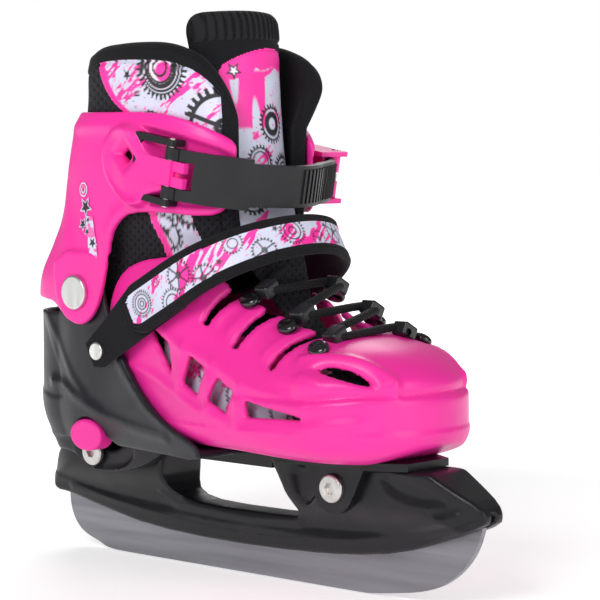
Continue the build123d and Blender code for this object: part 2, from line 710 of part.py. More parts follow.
def buckle_base(cuff_form):
    """Frame of the ratchet buckle: two cheeks and a curved bed below the strap's tail."""
    cheeks = block(-13, 19, 80, 98, 10.1, 12.3) + block(-13, 19, 80, 98, -12.3, -10.1)
    bed = Cylinder(TAIL_RADIUS - 2.0, 24.6) - Cylinder(TAIL_RADIUS - 4.0, 30)
    bed &= block(-9, 17, 60, 100, -13, 13)
    body = cheeks + bed
    body -= Pos(14, 94.5, 0) * Cylinder(1.5, 40)
    placed = strap_frame() * body
    return one_solid(placed - cuff_form)


def lever_pin():
    return strap_frame() * (Pos(14, 94.5, 0) * Cylinder(1.5, 26.0))


def buckle_lever():
    """Lever of the ratchet buckle, with a curled thumb end."""
    knuckle = Pos(14, 94.5, 0) * Cylinder(3.0, 19.4)
    plate = block(-17, 14, 94.3, 97.3, -9.7, 9.7)
    thumb = Pos(-17, 97.3, 0) * Cylinder(3.0, 19.4) & block(-21, -16, 90, 101, -9.7, 9.7)
    body = knuckle + plate + thumb
    body -= Pos(14, 94.5, 0) * Cylinder(1.5 + RUNNING_GAP, 40)
    return strap_frame() * (body - block(8, 20, 90, 100, -2.2, 2.2))


def drive_pawl():
    """Pawl under the lever that pushes the ribs; it stops just clear of them."""
    x_low, x_high = -2.0, 4.0
    crest = TAIL_RADIUS + 3.0
    shape = plan_prism([(x_low, crest), (x_high, 94.3), (x_low - 3, 94.3)], -7, 7)
    return strap_frame() * shape


def lever_spring():
    """Torsion spring round the lever's pin."""
    coil = Helix(pitch=0.8, height=3.2, radius=2.15)
    wire = sweep(Plane(coil @ 0, z_dir=coil % 0) * Circle(0.33), path=coil)
    return strap_frame() * (Pos(14, 94.5, -1.6) * wire)


# ---------------------------------------------------------------- instep strap


def instep_frame():
    """Location of the instep strap's frame: x climbs the instep, z is across the band."""
    return Location(INSTEP_ORIGIN) * Rot(0, -INSTEP_SLOPE, 0)


def instep_path():
    """Half ellipse over the instep with straight ends along the boot's sides."""
    points = [(x, -INSTEP_HALF, 0.0, -1.0) for x in (-44, -32, -20, -10)]
    for k in range(19):
        a = radians(-90 + 10 * k)
        nx, ny = cos(a) / INSTEP_REACH, sin(a) / INSTEP_HALF
        size = sqrt(nx * nx + ny * ny)
        points.append((INSTEP_REACH * cos(a), INSTEP_HALF * sin(a), nx / size, ny / size))
    points += [(x, INSTEP_HALF - (-10 - x) * 0.0676, 0.0, 1.0) for x in (-10, -24, -38, -52, -66, -78)]
    return points


def instep_side():
    """Outline of the band seen from the side: round near end, and far end at its rivet."""
    half, front = INSTEP_WIDTH / 2, INSTEP_FRONT_WIDTH / 2
    band = side_prism([(-31, -half), (-8, -half), (60, -front), (60, front), (-8, half), (-31, half)], -70, 70)
    near_end = rod_y(-31, 0, half, -70, 0)
    far_end = side_prism([(-30, -half), (-30, half), (-52, half), (-66, 5), (-78, 3), (-78, -10), (-60, -half)], 0, 70)
    return band + near_end + far_end


def instep_band():
    """The whole strap before it is divided at the place where its end peels up."""
    band = strap_band(instep_path(), -INSTEP_WIDTH, INSTEP_WIDTH, INSTEP_THICKNESS)
    return band & instep_side()


def instep_strap():
    """Strap from the far rivet over the instep to the start of its hook-and-loop end."""
    body = instep_band() & block(PEEL_LINE + 0.4, 60, -70, 70, -30, 30)
    body += instep_band() & block(-90, 60, 0, 70, -30, 30)
    return one_solid(instep_frame() * body - rod_y(*STRAP_RIVET, 1.8, 0, 60))


def strap_end():
    """Free end of the strap, which peels away from the near side."""
    return one_solid(instep_frame() * (instep_band() & block(-60, PEEL_LINE, -70, 0, -30, 30)))


def hook_patch():
    """Hook patch sewn inside the strap's free end."""
    inner = -INSTEP_HALF + INSTEP_THICKNESS / 2
    return instep_frame() * block(-36, PEEL_LINE - 4, inner, inner + HOOK_THICKNESS, -8, 8)


def loop_band():
    """Loop-faced band below the strap's end, fixed by the near rivet."""
    low = -INSTEP_HALF + INSTEP_THICKNESS / 2 + HOOK_THICKNESS + 0.3
    outline = [(-76, -10), (-70, -13), (-44, -12), (-8, -11), (-8, 10), (-40, 12), (-60, 6), (-76, 2)]
    return instep_frame() * side_prism(outline, low, low + BAND_THICKNESS) - rod_y(*STRAP_RIVET, 1.8, -60, 0)


# ---------------------------------------------------------------- laces


def lace_points():
    """Zigzag through the loops, from under the instep strap to the lowest far loop."""
    points = [(24.0, -10.0, 143.0)]
    for k, (x, z) in enumerate(LACE_LOOPS):
        near, far = (x, -LOOP_Y, z + 1.5), (x + FAR_SHIFT, LOOP_Y, z + 1.5)
        points += [(near[0] - 3.5, near[1], near[2] + 1.0), (near[0] + 3.5, near[1], near[2] - 1.0)]
        points += [(far[0] - 3.5, far[1], far[2] + 1.0), (far[0] + 3.5, far[1], far[2] - 1.0)]
    return points


def laces():
    """One round lace, swept along straight runs with small arcs in the loops."""
    points = lace_points()
    path = FilletPolyline(*points, radius=2.6)
    start = Plane(path @ 0, z_dir=path % 0)
    return sweep(start * Circle(LACE_RADIUS), path=path)


def lace_loops(side):
    """Webbing loops at the throat's edge."""
    made = []
    for x, z in LACE_LOOPS:
        at = x if side < 0 else x + FAR_SHIFT
        loop = Pos(at, side * (LOOP_Y + 1.0), z + 1.0) * Rot(side * -28, 0, 0) * Box(8.0, 9.0, 6.4)
        made.append(fillet(loop.edges(), 1.2))
    return made


def lace_caps(side):
    """Oval caps that lock each loop's end to the shell."""
    made = []
    for x, z in LACE_LOOPS:
        at = x - 4 if side < 0 else x - 4 + FAR_SHIFT
        cap = Pos(at, side * 28.5, z - 4.5) * Rot(side * -38, 0, 0) * Box(11.0, 8.0, 4.6)
        made.append(fillet(cap.edges(), 1.9))
    return made


def main():
    os.makedirs("parts", exist_ok=True)
    blade_solid = blade()
    cuff_form = cuff_solid(0)
    nodes = {
        "blade": blade_solid,
        "blade_holder": blade_holder(blade_solid),
        "sole_plate": sole_plate(),
        "front_bolt": through_bolt(FRONT_BOLT, FRONT_LUG_HALF),
        "front_nut": sleeve_nut(FRONT_BOLT, FRONT_LUG_HALF),
        "rear_bolt": through_bolt(REAR_BOLT, REAR_LUG_HALF),
        "rear_nut": sleeve_nut(REAR_BOLT, REAR_LUG_HALF),
        "heel_base": heel_base(),
        "sole_screw": sole_screw(),
        "size_button": size_button(),
        "size_latch": size_latch(),
        "button_spring": button_spring(),
        "adjuster_rack": adjuster_rack(),
        "rack_screws": rack_screws(),
        "slide_screws": slide_screws(),
        "toe_shell": toe_shell(),
        "liner_vamp": liner_vamp(),
        "footbed": footbed(),
        "liner_collar": liner_collar(),
        "tongue_top": tongue_top(),
        "tongue_base": tongue_base(),
        "cuff": cuff(),
        "ankle_rivet_near": ankle_rivet(-1),
        "ankle_rivet_far": ankle_rivet(1),
        "strap_rivets": strap_rivets(),
        "ladder_strap": ladder_strap(),
        "strap_anchor": strap_anchor(cuff_form),
        "strap_arm": strap_arm(cuff_form),
        "hinge_pin": hinge_pin(),
        "buckle_base": buckle_base(cuff_form),
        "lever_pin": lever_pin(),
        "buckle_lever": buckle_lever(),
        "drive_pawl": drive_pawl(),
        "lever_spring": lever_spring(),
        "instep_strap": instep_strap(),
        "strap_end": strap_end(),
        "hook_patch": hook_patch(),
        "loop_band": loop_band(),
        "laces": laces(),
        "lace_loops_near": Compound(lace_loops(-1)),
        "lace_loops_far": Compound(lace_loops(1)),
        "lace_caps_near": Compound(lace_caps(-1)),
        "lace_caps_far": Compound(lace_caps(1)),
    }
    for name, shape in nodes.items():
        export_step(shape, f"parts/{name}.step")


main()
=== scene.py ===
"""Looks of the adjustable ice skate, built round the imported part.

Lengths in this file are millimetres in the part's own frame (+X toe, +Z up, -Y button side);
mesh_object() turns them into metres. Hard mouldings are solid fields turned into meshes, and
soft goods are swept or lofted pads whose printed panels are colours on their own vertices.
"""

import math

import bpy
import numpy as np
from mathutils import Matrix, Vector


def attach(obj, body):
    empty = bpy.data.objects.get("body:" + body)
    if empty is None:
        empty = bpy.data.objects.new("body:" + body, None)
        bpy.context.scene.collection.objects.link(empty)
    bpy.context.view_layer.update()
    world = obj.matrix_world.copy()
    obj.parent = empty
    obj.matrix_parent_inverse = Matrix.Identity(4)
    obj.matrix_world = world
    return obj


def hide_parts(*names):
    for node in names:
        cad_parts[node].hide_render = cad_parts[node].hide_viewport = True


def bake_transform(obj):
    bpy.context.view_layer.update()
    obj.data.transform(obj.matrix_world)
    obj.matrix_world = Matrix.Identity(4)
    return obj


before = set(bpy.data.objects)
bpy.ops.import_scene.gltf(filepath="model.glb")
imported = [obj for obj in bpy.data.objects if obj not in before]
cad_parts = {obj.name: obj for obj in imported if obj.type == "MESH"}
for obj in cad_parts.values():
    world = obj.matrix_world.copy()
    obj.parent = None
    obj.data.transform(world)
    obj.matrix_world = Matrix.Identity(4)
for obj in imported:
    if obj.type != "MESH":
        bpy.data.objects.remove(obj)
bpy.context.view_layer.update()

PINK = (0.98, 0.030, 0.37)
DEEP_PINK = (0.82, 0.012, 0.26)
LILAC = (0.66, 0.68, 0.84)
INK = (0.012, 0.012, 0.016)


# ---------------------------------------------------------------- numbers and fields


def smax(a, b, k):
    h = np.maximum(k - np.abs(a - b), 0.0) / k
    return np.maximum(a, b) + h * h * k * 0.25


def smin(a, b, k):
    return -smax(-a, -b, k)


def step(value, width=0.3):
    """0 below, 1 above, smooth across `width` each side of zero."""
    t = np.clip(value / (2 * width) + 0.5, 0, 1)
    return t * t * (3 - 2 * t)


def bell(value, width):
    """1 at zero, fading out over about `width` each side."""
    return np.exp(-((value / width) ** 2))


def rolled(distance, radius, power=2):
    """Quarter-round rise from 0 at an edge to 1 at `radius` from it."""
    return np.sqrt(np.clip(1 - (1 - np.clip(distance / radius, 0, 1)) ** power, 0, 1))


def lengths(x, y):
    """Running length along a line of points."""
    return np.concatenate([[0], np.cumsum(np.hypot(np.diff(x), np.diff(y)))])


def from_axis(x, z, at):
    """Distance to an axis that crosses the skate at (x, z)."""
    return np.sqrt((x - at[0]) ** 2 + (z - at[1]) ** 2)


def curve(table, x):
    """Smooth curve through (x, value) pairs, level beyond the ends."""
    xs, ys = np.array(table, float).T
    slope = np.gradient(ys, xs)
    x = np.clip(x, xs[0], xs[-1])
    i = np.clip(np.searchsorted(xs, x) - 1, 0, len(xs) - 2)
    h = xs[i + 1] - xs[i]
    t = (x - xs[i]) / h
    a = (1 + 2 * t) * (1 - t) ** 2 * ys[i] + t * t * (3 - 2 * t) * ys[i + 1]
    return a + h * (t * (1 - t) ** 2 * slope[i] - t * t * (1 - t) * slope[i + 1])


def rounded(points, rounds=2):
    """Closed outline with its corners cut `rounds` times."""
    p = np.array(points, float)
    for _ in range(rounds):
        q = np.roll(p, -1, axis=0)
        p = np.stack([0.75 * p + 0.25 * q, 0.25 * p + 0.75 * q], axis=1).reshape(-1, 2)
    return p


def inside(points, u, v):
    """Signed distance to a closed outline, negative inside."""
    p = np.asarray(points, float)
    best = np.full(np.broadcast(u, v).shape, 1e9)
    odd = np.zeros(best.shape, bool)
    for (x0, y0), (x1, y1) in zip(p, np.roll(p, -1, axis=0)):
        ex, ey = x1 - x0, y1 - y0
        wx, wy = u - x0, v - y0
        t = np.clip((wx * ex + wy * ey) / (ex * ex + ey * ey + 1e-12), 0, 1)
        best = np.minimum(best, (wx - t * ex) ** 2 + (wy - t * ey) ** 2)
        if y0 != y1:
            odd ^= ((y0 > v) != (y1 > v)) & (u < x0 + (v - y0) * ex / (y1 - y0))
    return np.where(odd, -1, 1) * np.sqrt(best)


def along(points, u, v):
    """Distance to an open line of points."""
    best = np.full(np.broadcast(u, v).shape, 1e9)
    for (x0, y0), (x1, y1) in zip(points[:-1], points[1:]):
        ex, ey = x1 - x0, y1 - y0
        t = np.clip(((u - x0) * ex + (v - y0) * ey) / (ex * ex + ey * ey), 0, 1)
        best = np.minimum(best, (u - x0 - t * ex) ** 2 + (v - y0 - t * ey) ** 2)
    return np.sqrt(best)


def ridge(points, u, v, width, height):
    return height * bell(along(points, u, v), width)


def spaced(low, high, pitch):
    axes = [np.arange(a, b + pitch, pitch) for a, b in zip(low, high)]
    return axes[0][:, None, None], axes[1][None, :, None], axes[2][None, None, :]


def even(field, pitch):
    """Field divided by its slope, which makes it a distance near the surface."""
    gx, gy, gz = np.gradient(field, pitch)
    return field / np.maximum(np.sqrt(gx * gx + gy * gy + gz * gz), 1e-4)


def surface(field, low, pitch):
    """Vertices and quads of the zero surface of a sampled field (dual method)."""
    f = np.pad(field, 1, constant_values=5.0)
    s = f < 0
    size = np.array(f.shape) - 1
    cut = lambda a, c: a[c[0]:c[0] + size[0], c[1]:c[1] + size[1], c[2]:c[2] + size[2]]
    corners = [(a, b, c) for a in (0, 1) for b in (0, 1) for c in (0, 1)]
    count = sum(cut(s, c).astype(np.uint8) for c in corners)
    mixed = (count > 0) & (count < 8)
    cells = np.argwhere(mixed)
    index = np.full(mixed.shape, -1, int)
    index[mixed] = np.arange(len(cells))
    total, hits = np.zeros((len(cells), 3)), np.zeros(len(cells))
    for axis in range(3):
        unit = np.eye(3, dtype=int)[axis]
        for c in corners:
            if c[axis]:
                continue
            a, b = cells + c, cells + c + unit
            fa, fb = f[tuple(a.T)], f[tuple(b.T)]
            crosses = (fa < 0) != (fb < 0)
            t = np.where(crosses, fa / np.where(crosses, fa - fb, 1), 0)
            total += np.where(crosses[:, None], np.array(c) + t[:, None] * unit, 0)
            hits += crosses
    points = np.array(low) + pitch * (cells - 1 + total / hits[:, None])
    quads = []
    for axis in range(3):
        one, two = np.eye(3, dtype=int)[(axis + 1) % 3], np.eye(3, dtype=int)[(axis + 2) % 3]
        unit = np.eye(3, dtype=int)[axis]
        before, after = (np.take(s, range(k, s.shape[axis] - 1 + k), axis) for k in (0, 1))
        edges = np.argwhere(before != after)
        edges = edges[(edges @ one > 0) & (edges @ two > 0)]
        ring = [edges - one - two, edges - two, edges, edges - one]
        quad = np.stack([index[tuple(r.T)] for r in ring], axis=1)
        flip = ~s[tuple(edges.T)]
        quad[flip] = quad[flip][:, ::-1]
        quads.append(quad)
    return points, np.concatenate(quads)


def mesh_object(name, points, faces, materials, body, node=None, slots=None, colours=None, smooth=True):
    """Makes a Blender object from millimetre points, rides it and notes what it replaces."""
    mesh = bpy.data.meshes.new(name)
    points = np.asarray(points, float).reshape(-1, 3) * 0.001
    faces = np.asarray(faces)
    mesh.vertices.add(len(points))
    mesh.vertices.foreach_set("co", points.astype(np.float32).ravel())
    mesh.loops.add(faces.size)
    mesh.loops.foreach_set("vertex_index", faces.astype(np.int32).ravel())
    mesh.polygons.add(len(faces))
    mesh.polygons.foreach_set("loop_start", np.arange(0, faces.size, faces.shape[1], dtype=np.int32))
    mesh.polygons.foreach_set("use_smooth", np.full(len(faces), smooth))
    for material in materials:
        mesh.materials.append(material)
    if slots is not None:
        mesh.polygons.foreach_set("material_index", np.asarray(slots, np.int32))
    if colours is not None:
        data = mesh.color_attributes.new("Print", "FLOAT_COLOR", "POINT")
        rgba = np.ones((len(points), 4), np.float32)
        rgba[:, :3] = colours
        data.data.foreach_set("color", rgba.ravel())
    mesh.update(calc_edges=True)
    mesh.validate()
    piece = bpy.data.objects.new(name, mesh)
    bpy.context.scene.collection.objects.link(piece)
    if body:
        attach(piece, body)
    if node:
        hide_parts(*([node] if isinstance(node, str) else node))
    return piece


def field_object(name, field, low, pitch, material, body, node=None, relax=2):
    points, quads = surface(field, low, pitch)
    edges = np.concatenate([quads[:, [0, 1]], quads[:, [1, 2]], quads[:, [2, 3]], quads[:, [3, 0]]])
    hits = np.bincount(edges[:, 0], minlength=len(points))
    for _ in range(relax):
        total = np.zeros_like(points)
        for axis in range(3):
            total[:, axis] = np.bincount(edges[:, 0], points[edges[:, 1], axis], len(points))
        points = 0.5 * points + 0.5 * total / np.maximum(hits, 1)[:, None]
    print("piece", name, len(quads), "faces")
    return mesh_object(name, points, quads, [material], body, node)


# ---------------------------------------------------------------- materials


def nodes_of(name):
    material = bpy.data.materials.new(name)
    material.use_nodes = True
    tree = material.node_tree
    return material, tree, tree.nodes["Principled BSDF"]


def add(tree, kind, inputs=None, **settings):
    node = tree.nodes.new(kind)
    for key, value in settings.items():
        setattr(node, key, value)
    for key, value in (inputs or {}).items():
        if hasattr(value, "links"):
            tree.links.new(value, node.inputs[key])
        else:
            node.inputs[key].default_value = value
    return node


def place(tree, scale=(1, 1, 1)):
    coordinates = tree.nodes.new("ShaderNodeTexCoord")
    mapping = add(tree, "ShaderNodeMapping", {"Vector": coordinates.outputs["Object"], "Scale": scale})
    return mapping.outputs["Vector"]


def ramp(tree, value, low, high, start=0.3, end=0.7):
    node = add(tree, "ShaderNodeValToRGB", {"Fac": value})
    node.color_ramp.elements[0].position, node.color_ramp.elements[1].position = start, end
    node.color_ramp.elements[0].color = (*low, 1)
    node.color_ramp.elements[1].color = (*high, 1)
    return node.outputs["Color"]


def grain_of(tree, at, scale, detail):
    return add(tree, "ShaderNodeTexNoise", {"Vector": at, "Scale": scale, "Detail": detail}).outputs["Fac"]


def bump(tree, shader, height, strength, distance):
    bumped = add(tree, "ShaderNodeBump", {"Height": height, "Strength": strength, "Distance": distance})
    tree.links.new(bumped.outputs["Normal"], shader.inputs["Normal"])


def grey(value):
    return (value, value, value)


def plastic(name, colour, rough, grain=900.0, relief=0.06, spread=0.08, coat=0.0, specular=0.5, shade=0.88):
    """Moulded plastic: slow colour drift, patchy gloss, fine grain."""
    material, tree, shader = nodes_of(name)
    at = place(tree)
    slow = grain_of(tree, at, 16.0, 4.0)
    tree.links.new(ramp(tree, slow, tuple(c * shade for c in colour), colour), shader.inputs["Base Color"])
    patch = grain_of(tree, at, 70.0, 5.0)
    gloss = ramp(tree, patch, grey(rough - spread), grey(rough + spread))
    tree.links.new(gloss, shader.inputs["Roughness"])
    bump(tree, shader, grain_of(tree, at, grain, 3.0), relief, 0.0004)
    shader.inputs["Coat Weight"].default_value = coat
    shader.inputs["Coat Roughness"].default_value = 0.25
    shader.inputs["Specular IOR Level"].default_value = specular
    return material


def metal(name, colour, rough, brush, relief=0.12, scratches=0.06):
    """Metal with brushing along its longest direction and small scratches."""
    material, tree, shader = nodes_of(name)
    lines = grain_of(tree, place(tree, brush), 240.0, 6.0)
    tree.links.new(ramp(tree, lines, tuple(c * 0.8 for c in colour), colour), shader.inputs["Base Color"])
    gloss = ramp(tree, lines, grey(rough + scratches), grey(rough - scratches))
    tree.links.new(gloss, shader.inputs["Roughness"])
    bump(tree, shader, lines, relief, 0.0003)
    shader.inputs["Metallic"].default_value = 1.0
    return material


def fabric(name, colour, light, kind, size, depth=0.6, rough=0.85, sheen=0.04, distance=0.0006):
    """Cloth with a real structure: 'mesh' (open cells), 'knit', 'weave', 'ribs' or 'braid'."""
    material, tree, shader = nodes_of(name)
    if kind == "ribs":
        bands = add(tree, "ShaderNodeTexWave", {"Vector": place(tree), "Scale": 0.314 / size,
                "Distortion": 0.3},
                    wave_type="BANDS", bands_direction="Y")
        height = bands.outputs["Fac"]
    else:
        wide = {"mesh": 0.8, "knit": 1.0, "weave": 1.0, "braid": 1.2}[kind]
        crossed = []
        for turn in (1, -1):
            wave = add(tree, "ShaderNodeTexWave", {"Vector": place(tree, (wide, wide, turn)),
                    "Scale": 0.628 / size},
                       wave_type="BANDS", bands_direction="DIAGONAL")
            crossed.append(wave.outputs["Fac"])
        height = add(tree, "ShaderNodeMath", {0: crossed[0], 1: crossed[1]},
                operation="MULTIPLY").outputs["Value"]
        if kind == "mesh":
            height = add(tree, "ShaderNodeMath", {0: 1.0, 1: height}, operation="SUBTRACT").outputs["Value"]
    fuzz = grain_of(tree, place(tree), 1500.0, 3.0)
    both = add(tree, "ShaderNodeMath", {0: height, 1: fuzz}, operation="ADD").outputs["Value"]
    tree.links.new(ramp(tree, both, colour, light, 0.45, 1.25), shader.inputs["Base Color"])
    bump(tree, shader, both, depth, distance)
    shader.inputs["Roughness"].default_value = rough
    shader.inputs["Sheen Weight"].default_value = sheen
    shader.inputs["Specular IOR Level"].default_value = 0.16
    return material


def printed(name):
    """Satin printed vinyl: the vertices carry the print, the nodes its weave and gloss."""
    material, tree, shader = nodes_of(name)
    paint = add(tree, "ShaderNodeAttribute", attribute_name="Print")
    tree.links.new(paint.outputs["Color"], shader.inputs["Base Color"])
    wear = grain_of(tree, place(tree), 120.0, 5.0)
    tree.links.new(ramp(tree, wear, grey(0.38), grey(0.58)), shader.inputs["Roughness"])
    bump(tree, shader, grain_of(tree, place(tree), 1400.0, 2.0), 0.12, 0.0003)
    return material


M = {
    "pink": plastic("pink_plastic", PINK, 0.36, relief=0.05, spread=0.05, specular=0.4),
    "black": plastic("black_plastic", (0.008, 0.008, 0.010), 0.33, relief=0.08, specular=0.34),
    "heel": plastic("heel_plastic", (0.012, 0.012, 0.016), 0.38, relief=0.09, spread=0.06, specular=0.38),
    "strap": plastic("strap_plastic", (0.009, 0.009, 0.011), 0.42, relief=0.14, specular=0.36),
    "loop": plastic("loop_webbing", (0.010, 0.010, 0.012), 0.30, grain=1500.0, relief=0.35, coat=0.2),
    "mark": plastic("cap_mark", (0.55, 0.55, 0.56), 0.35),
    "cap": plastic("cap_plastic", (0.006, 0.006, 0.007), 0.14, spread=0.04, coat=0.5),
    "steel": metal("blade_steel", (0.33, 0.33, 0.36), 0.46, (0.05, 1.0, 1.0), relief=0.08),
    "zinc": metal("zinc_fastener", (0.72, 0.71, 0.68), 0.34, (1.0, 1.0, 1.0)),
    "rivet": metal("rivet_steel", (0.78, 0.78, 0.76), 0.33, (1.0, 1.0, 0.2)),
    "mesh": fabric("collar_mesh", (0.0015, 0.0015, 0.002), (0.018, 0.018, 0.022), "mesh", 0.0042, depth=0.9,
                   distance=0.0012),
    "lining": fabric("lining_mesh", (0.003, 0.003, 0.0035), (0.014, 0.014, 0.016), "weave", 0.0016, depth=0.3),
    "binding": fabric("binding_knit", (0.0035, 0.0035, 0.004), (0.013, 0.013, 0.016), "knit", 0.0014,
    depth=0.25),
    "ribbed": fabric("tongue_ribs", (0.003, 0.003, 0.004), (0.017, 0.017, 0.02), "ribs", 0.0034, depth=0.7),
    "lace": fabric("lace_cord", (0.003, 0.003, 0.0035), (0.018, 0.018, 0.02), "braid", 0.0020, depth=0.5,
    rough=0.6),
    "tape": fabric("strap_fabric", (0.004, 0.004, 0.005), (0.016, 0.016, 0.019), "weave", 0.0014, depth=0.3),
    "foam": fabric("insole_foam", (0.01, 0.01, 0.012), (0.04, 0.04, 0.045), "knit", 0.0016, depth=0.4),
    "print": printed("printed_panel"),
}


# ---------------------------------------------------------------- camera, floor and light


def aim(thing, place_mm, target_mm):
    thing.location = Vector(place_mm) * 0.001
    thing.rotation_euler = (Vector(target_mm) - Vector(place_mm)).to_track_quat("-Z", "Y").to_euler()
    bpy.context.scene.collection.objects.link(thing)
    return thing


def camera():
    data = bpy.data.cameras.new("camera")
    data.lens, data.sensor_width = 138.0, 36.0
    turn, dip = math.radians(42), math.radians(4)
    spot = Vector((714.6, -767.5, 199.9))
    ahead = Vector((-math.sin(turn) * math.cos(dip), math.cos(turn) * math.cos(dip), -math.sin(dip)))
    bpy.context.scene.camera = aim(bpy.data.objects.new("camera", data), spot, spot + 1000 * ahead)


def area_light(name, spot, target, size, power):
    data = bpy.data.lights.new(name, "AREA")
    data.shape, data.size, data.energy = "DISK", size, power
    aim(bpy.data.objects.new(name, data), spot, target)


def studio():
    world = bpy.data.worlds.new("studio")
    bpy.context.scene.world = world
    world.use_nodes = True
    back = world.node_tree.nodes["Background"]
    back.inputs["Color"].default_value = (1, 1, 1, 1)
    rays = world.node_tree.nodes.new("ShaderNodeLightPath")
    power = add(world.node_tree, "ShaderNodeMapRange",
            {"Value": rays.outputs["Is Camera Ray"], "To Min": 0.24, "To Max": 1.0})
    world.node_tree.links.new(power.outputs["Result"], back.inputs["Strength"])
    bpy.context.scene.view_settings.view_transform = "Standard"
    material, tree, shader = nodes_of("studio_floor")
    faint = add(tree, "ShaderNodeTexNoise", {"Vector": place(tree), "Scale": 3.0}).outputs["Fac"]
    tree.links.new(ramp(tree, faint, grey(0.93), grey(0.95)), shader.inputs["Base Color"])
    shader.inputs["Roughness"].default_value = 0.9
    shader.inputs["Emission Color"].default_value = (1, 1, 1, 1)
    reach = add(tree, "ShaderNodeVectorMath", {0: place(tree)}, operation="LENGTH").outputs["Value"]
    glow = add(tree, "ShaderNodeMapRange", {"Value": reach, "From Min": 0.35, "From Max": 0.9, "To Min": 0.40,
            "To Max": 1.0})
    tree.links.new(glow.outputs["Result"], shader.inputs["Emission Strength"])
    ring = [(12000 * math.cos(a), 12000 * math.sin(a), -0.3) for a in np.arange(0, 2 * math.pi, math.pi / 32)]
    floor = mesh_object("floor", ring, [list(range(len(ring)))], [material], None, smooth=False)
    centre = (0, 0, 120)
    area_light("key", (350, -1400, 1000), centre, 0.8, 14)
    area_light("fill", (1500, -150, 600), centre, 1.0, 6.5)
    area_light("rear", (-900, 900, 1100), centre, 0.9, 8)


# ---------------------------------------------------------------- hard mouldings


def foot_form(x, y, z, halves, crowns, power, widest, floor, heel, toe):
    """Superellipse sections along x, closed by rounded ends; heel/toe are (x, reach factor)."""
    wide = curve(halves, x)
    over = np.maximum(x - toe[0], 0) * toe[1] + np.maximum(heel[0] - x, 0) * heel[1]
    side = np.sqrt(y * y + over * over) / wide
    top = np.maximum(z - widest, 0) / (curve(crowns, x) - widest)
    low = np.maximum(widest - z, 0) / (widest - floor)
    n = curve(power, x)
    upper = (side ** n + top ** n) ** (1 / n)
    lower = (side ** 4.5 + low ** 4.5) ** (1 / 4.5)
    return np.where(z > widest, upper, lower) - 1


WALL = 3.0
BUTTON = (-80, 61)
TOE_HALVES = [(-72, 32.6), (-45, 36), (-20, 40.5), (0, 44), (30, 46.2), (50, 46.1), (60, 45.6), (64, 45.6)]
TOE_CROWNS = [(-72, 178), (-45, 176), (-20, 162), (0, 143), (30, 126), (50, 117.5), (66, 114), (82, 112.5),
        (106, 110)]
TOE_POWER = [(-72, 3), (-45, 3), (-20, 2.8), (0, 2.3), (30, 2.2), (50, 2.4), (66, 2.7), (106, 2.9)]
SLOTS = [(0.5, 36.5, 9.5, 17), (20.5, 38.5, 28.5, 14), (44, 41, 55, 13)]
WINDOWS = [
    [(-35, 114.5), (-21, 107.5), (-18.5, 95.5)],
    [(-5, 103), (5, 98.5), (1, 87), (-9, 91.5)],
    [(14, 94.5), (24, 89.5), (20.5, 80.5), (9, 85)],
    [(33, 86), (50, 83.4), (65, 81), (50, 80.6), (34, 80)],
]
VENT = [(62, 42), (69, 36.8), (79, 33.0), (88, 30.0), (95, 29.0), (91, 34.5), (84, 39), (74, 42.5)]


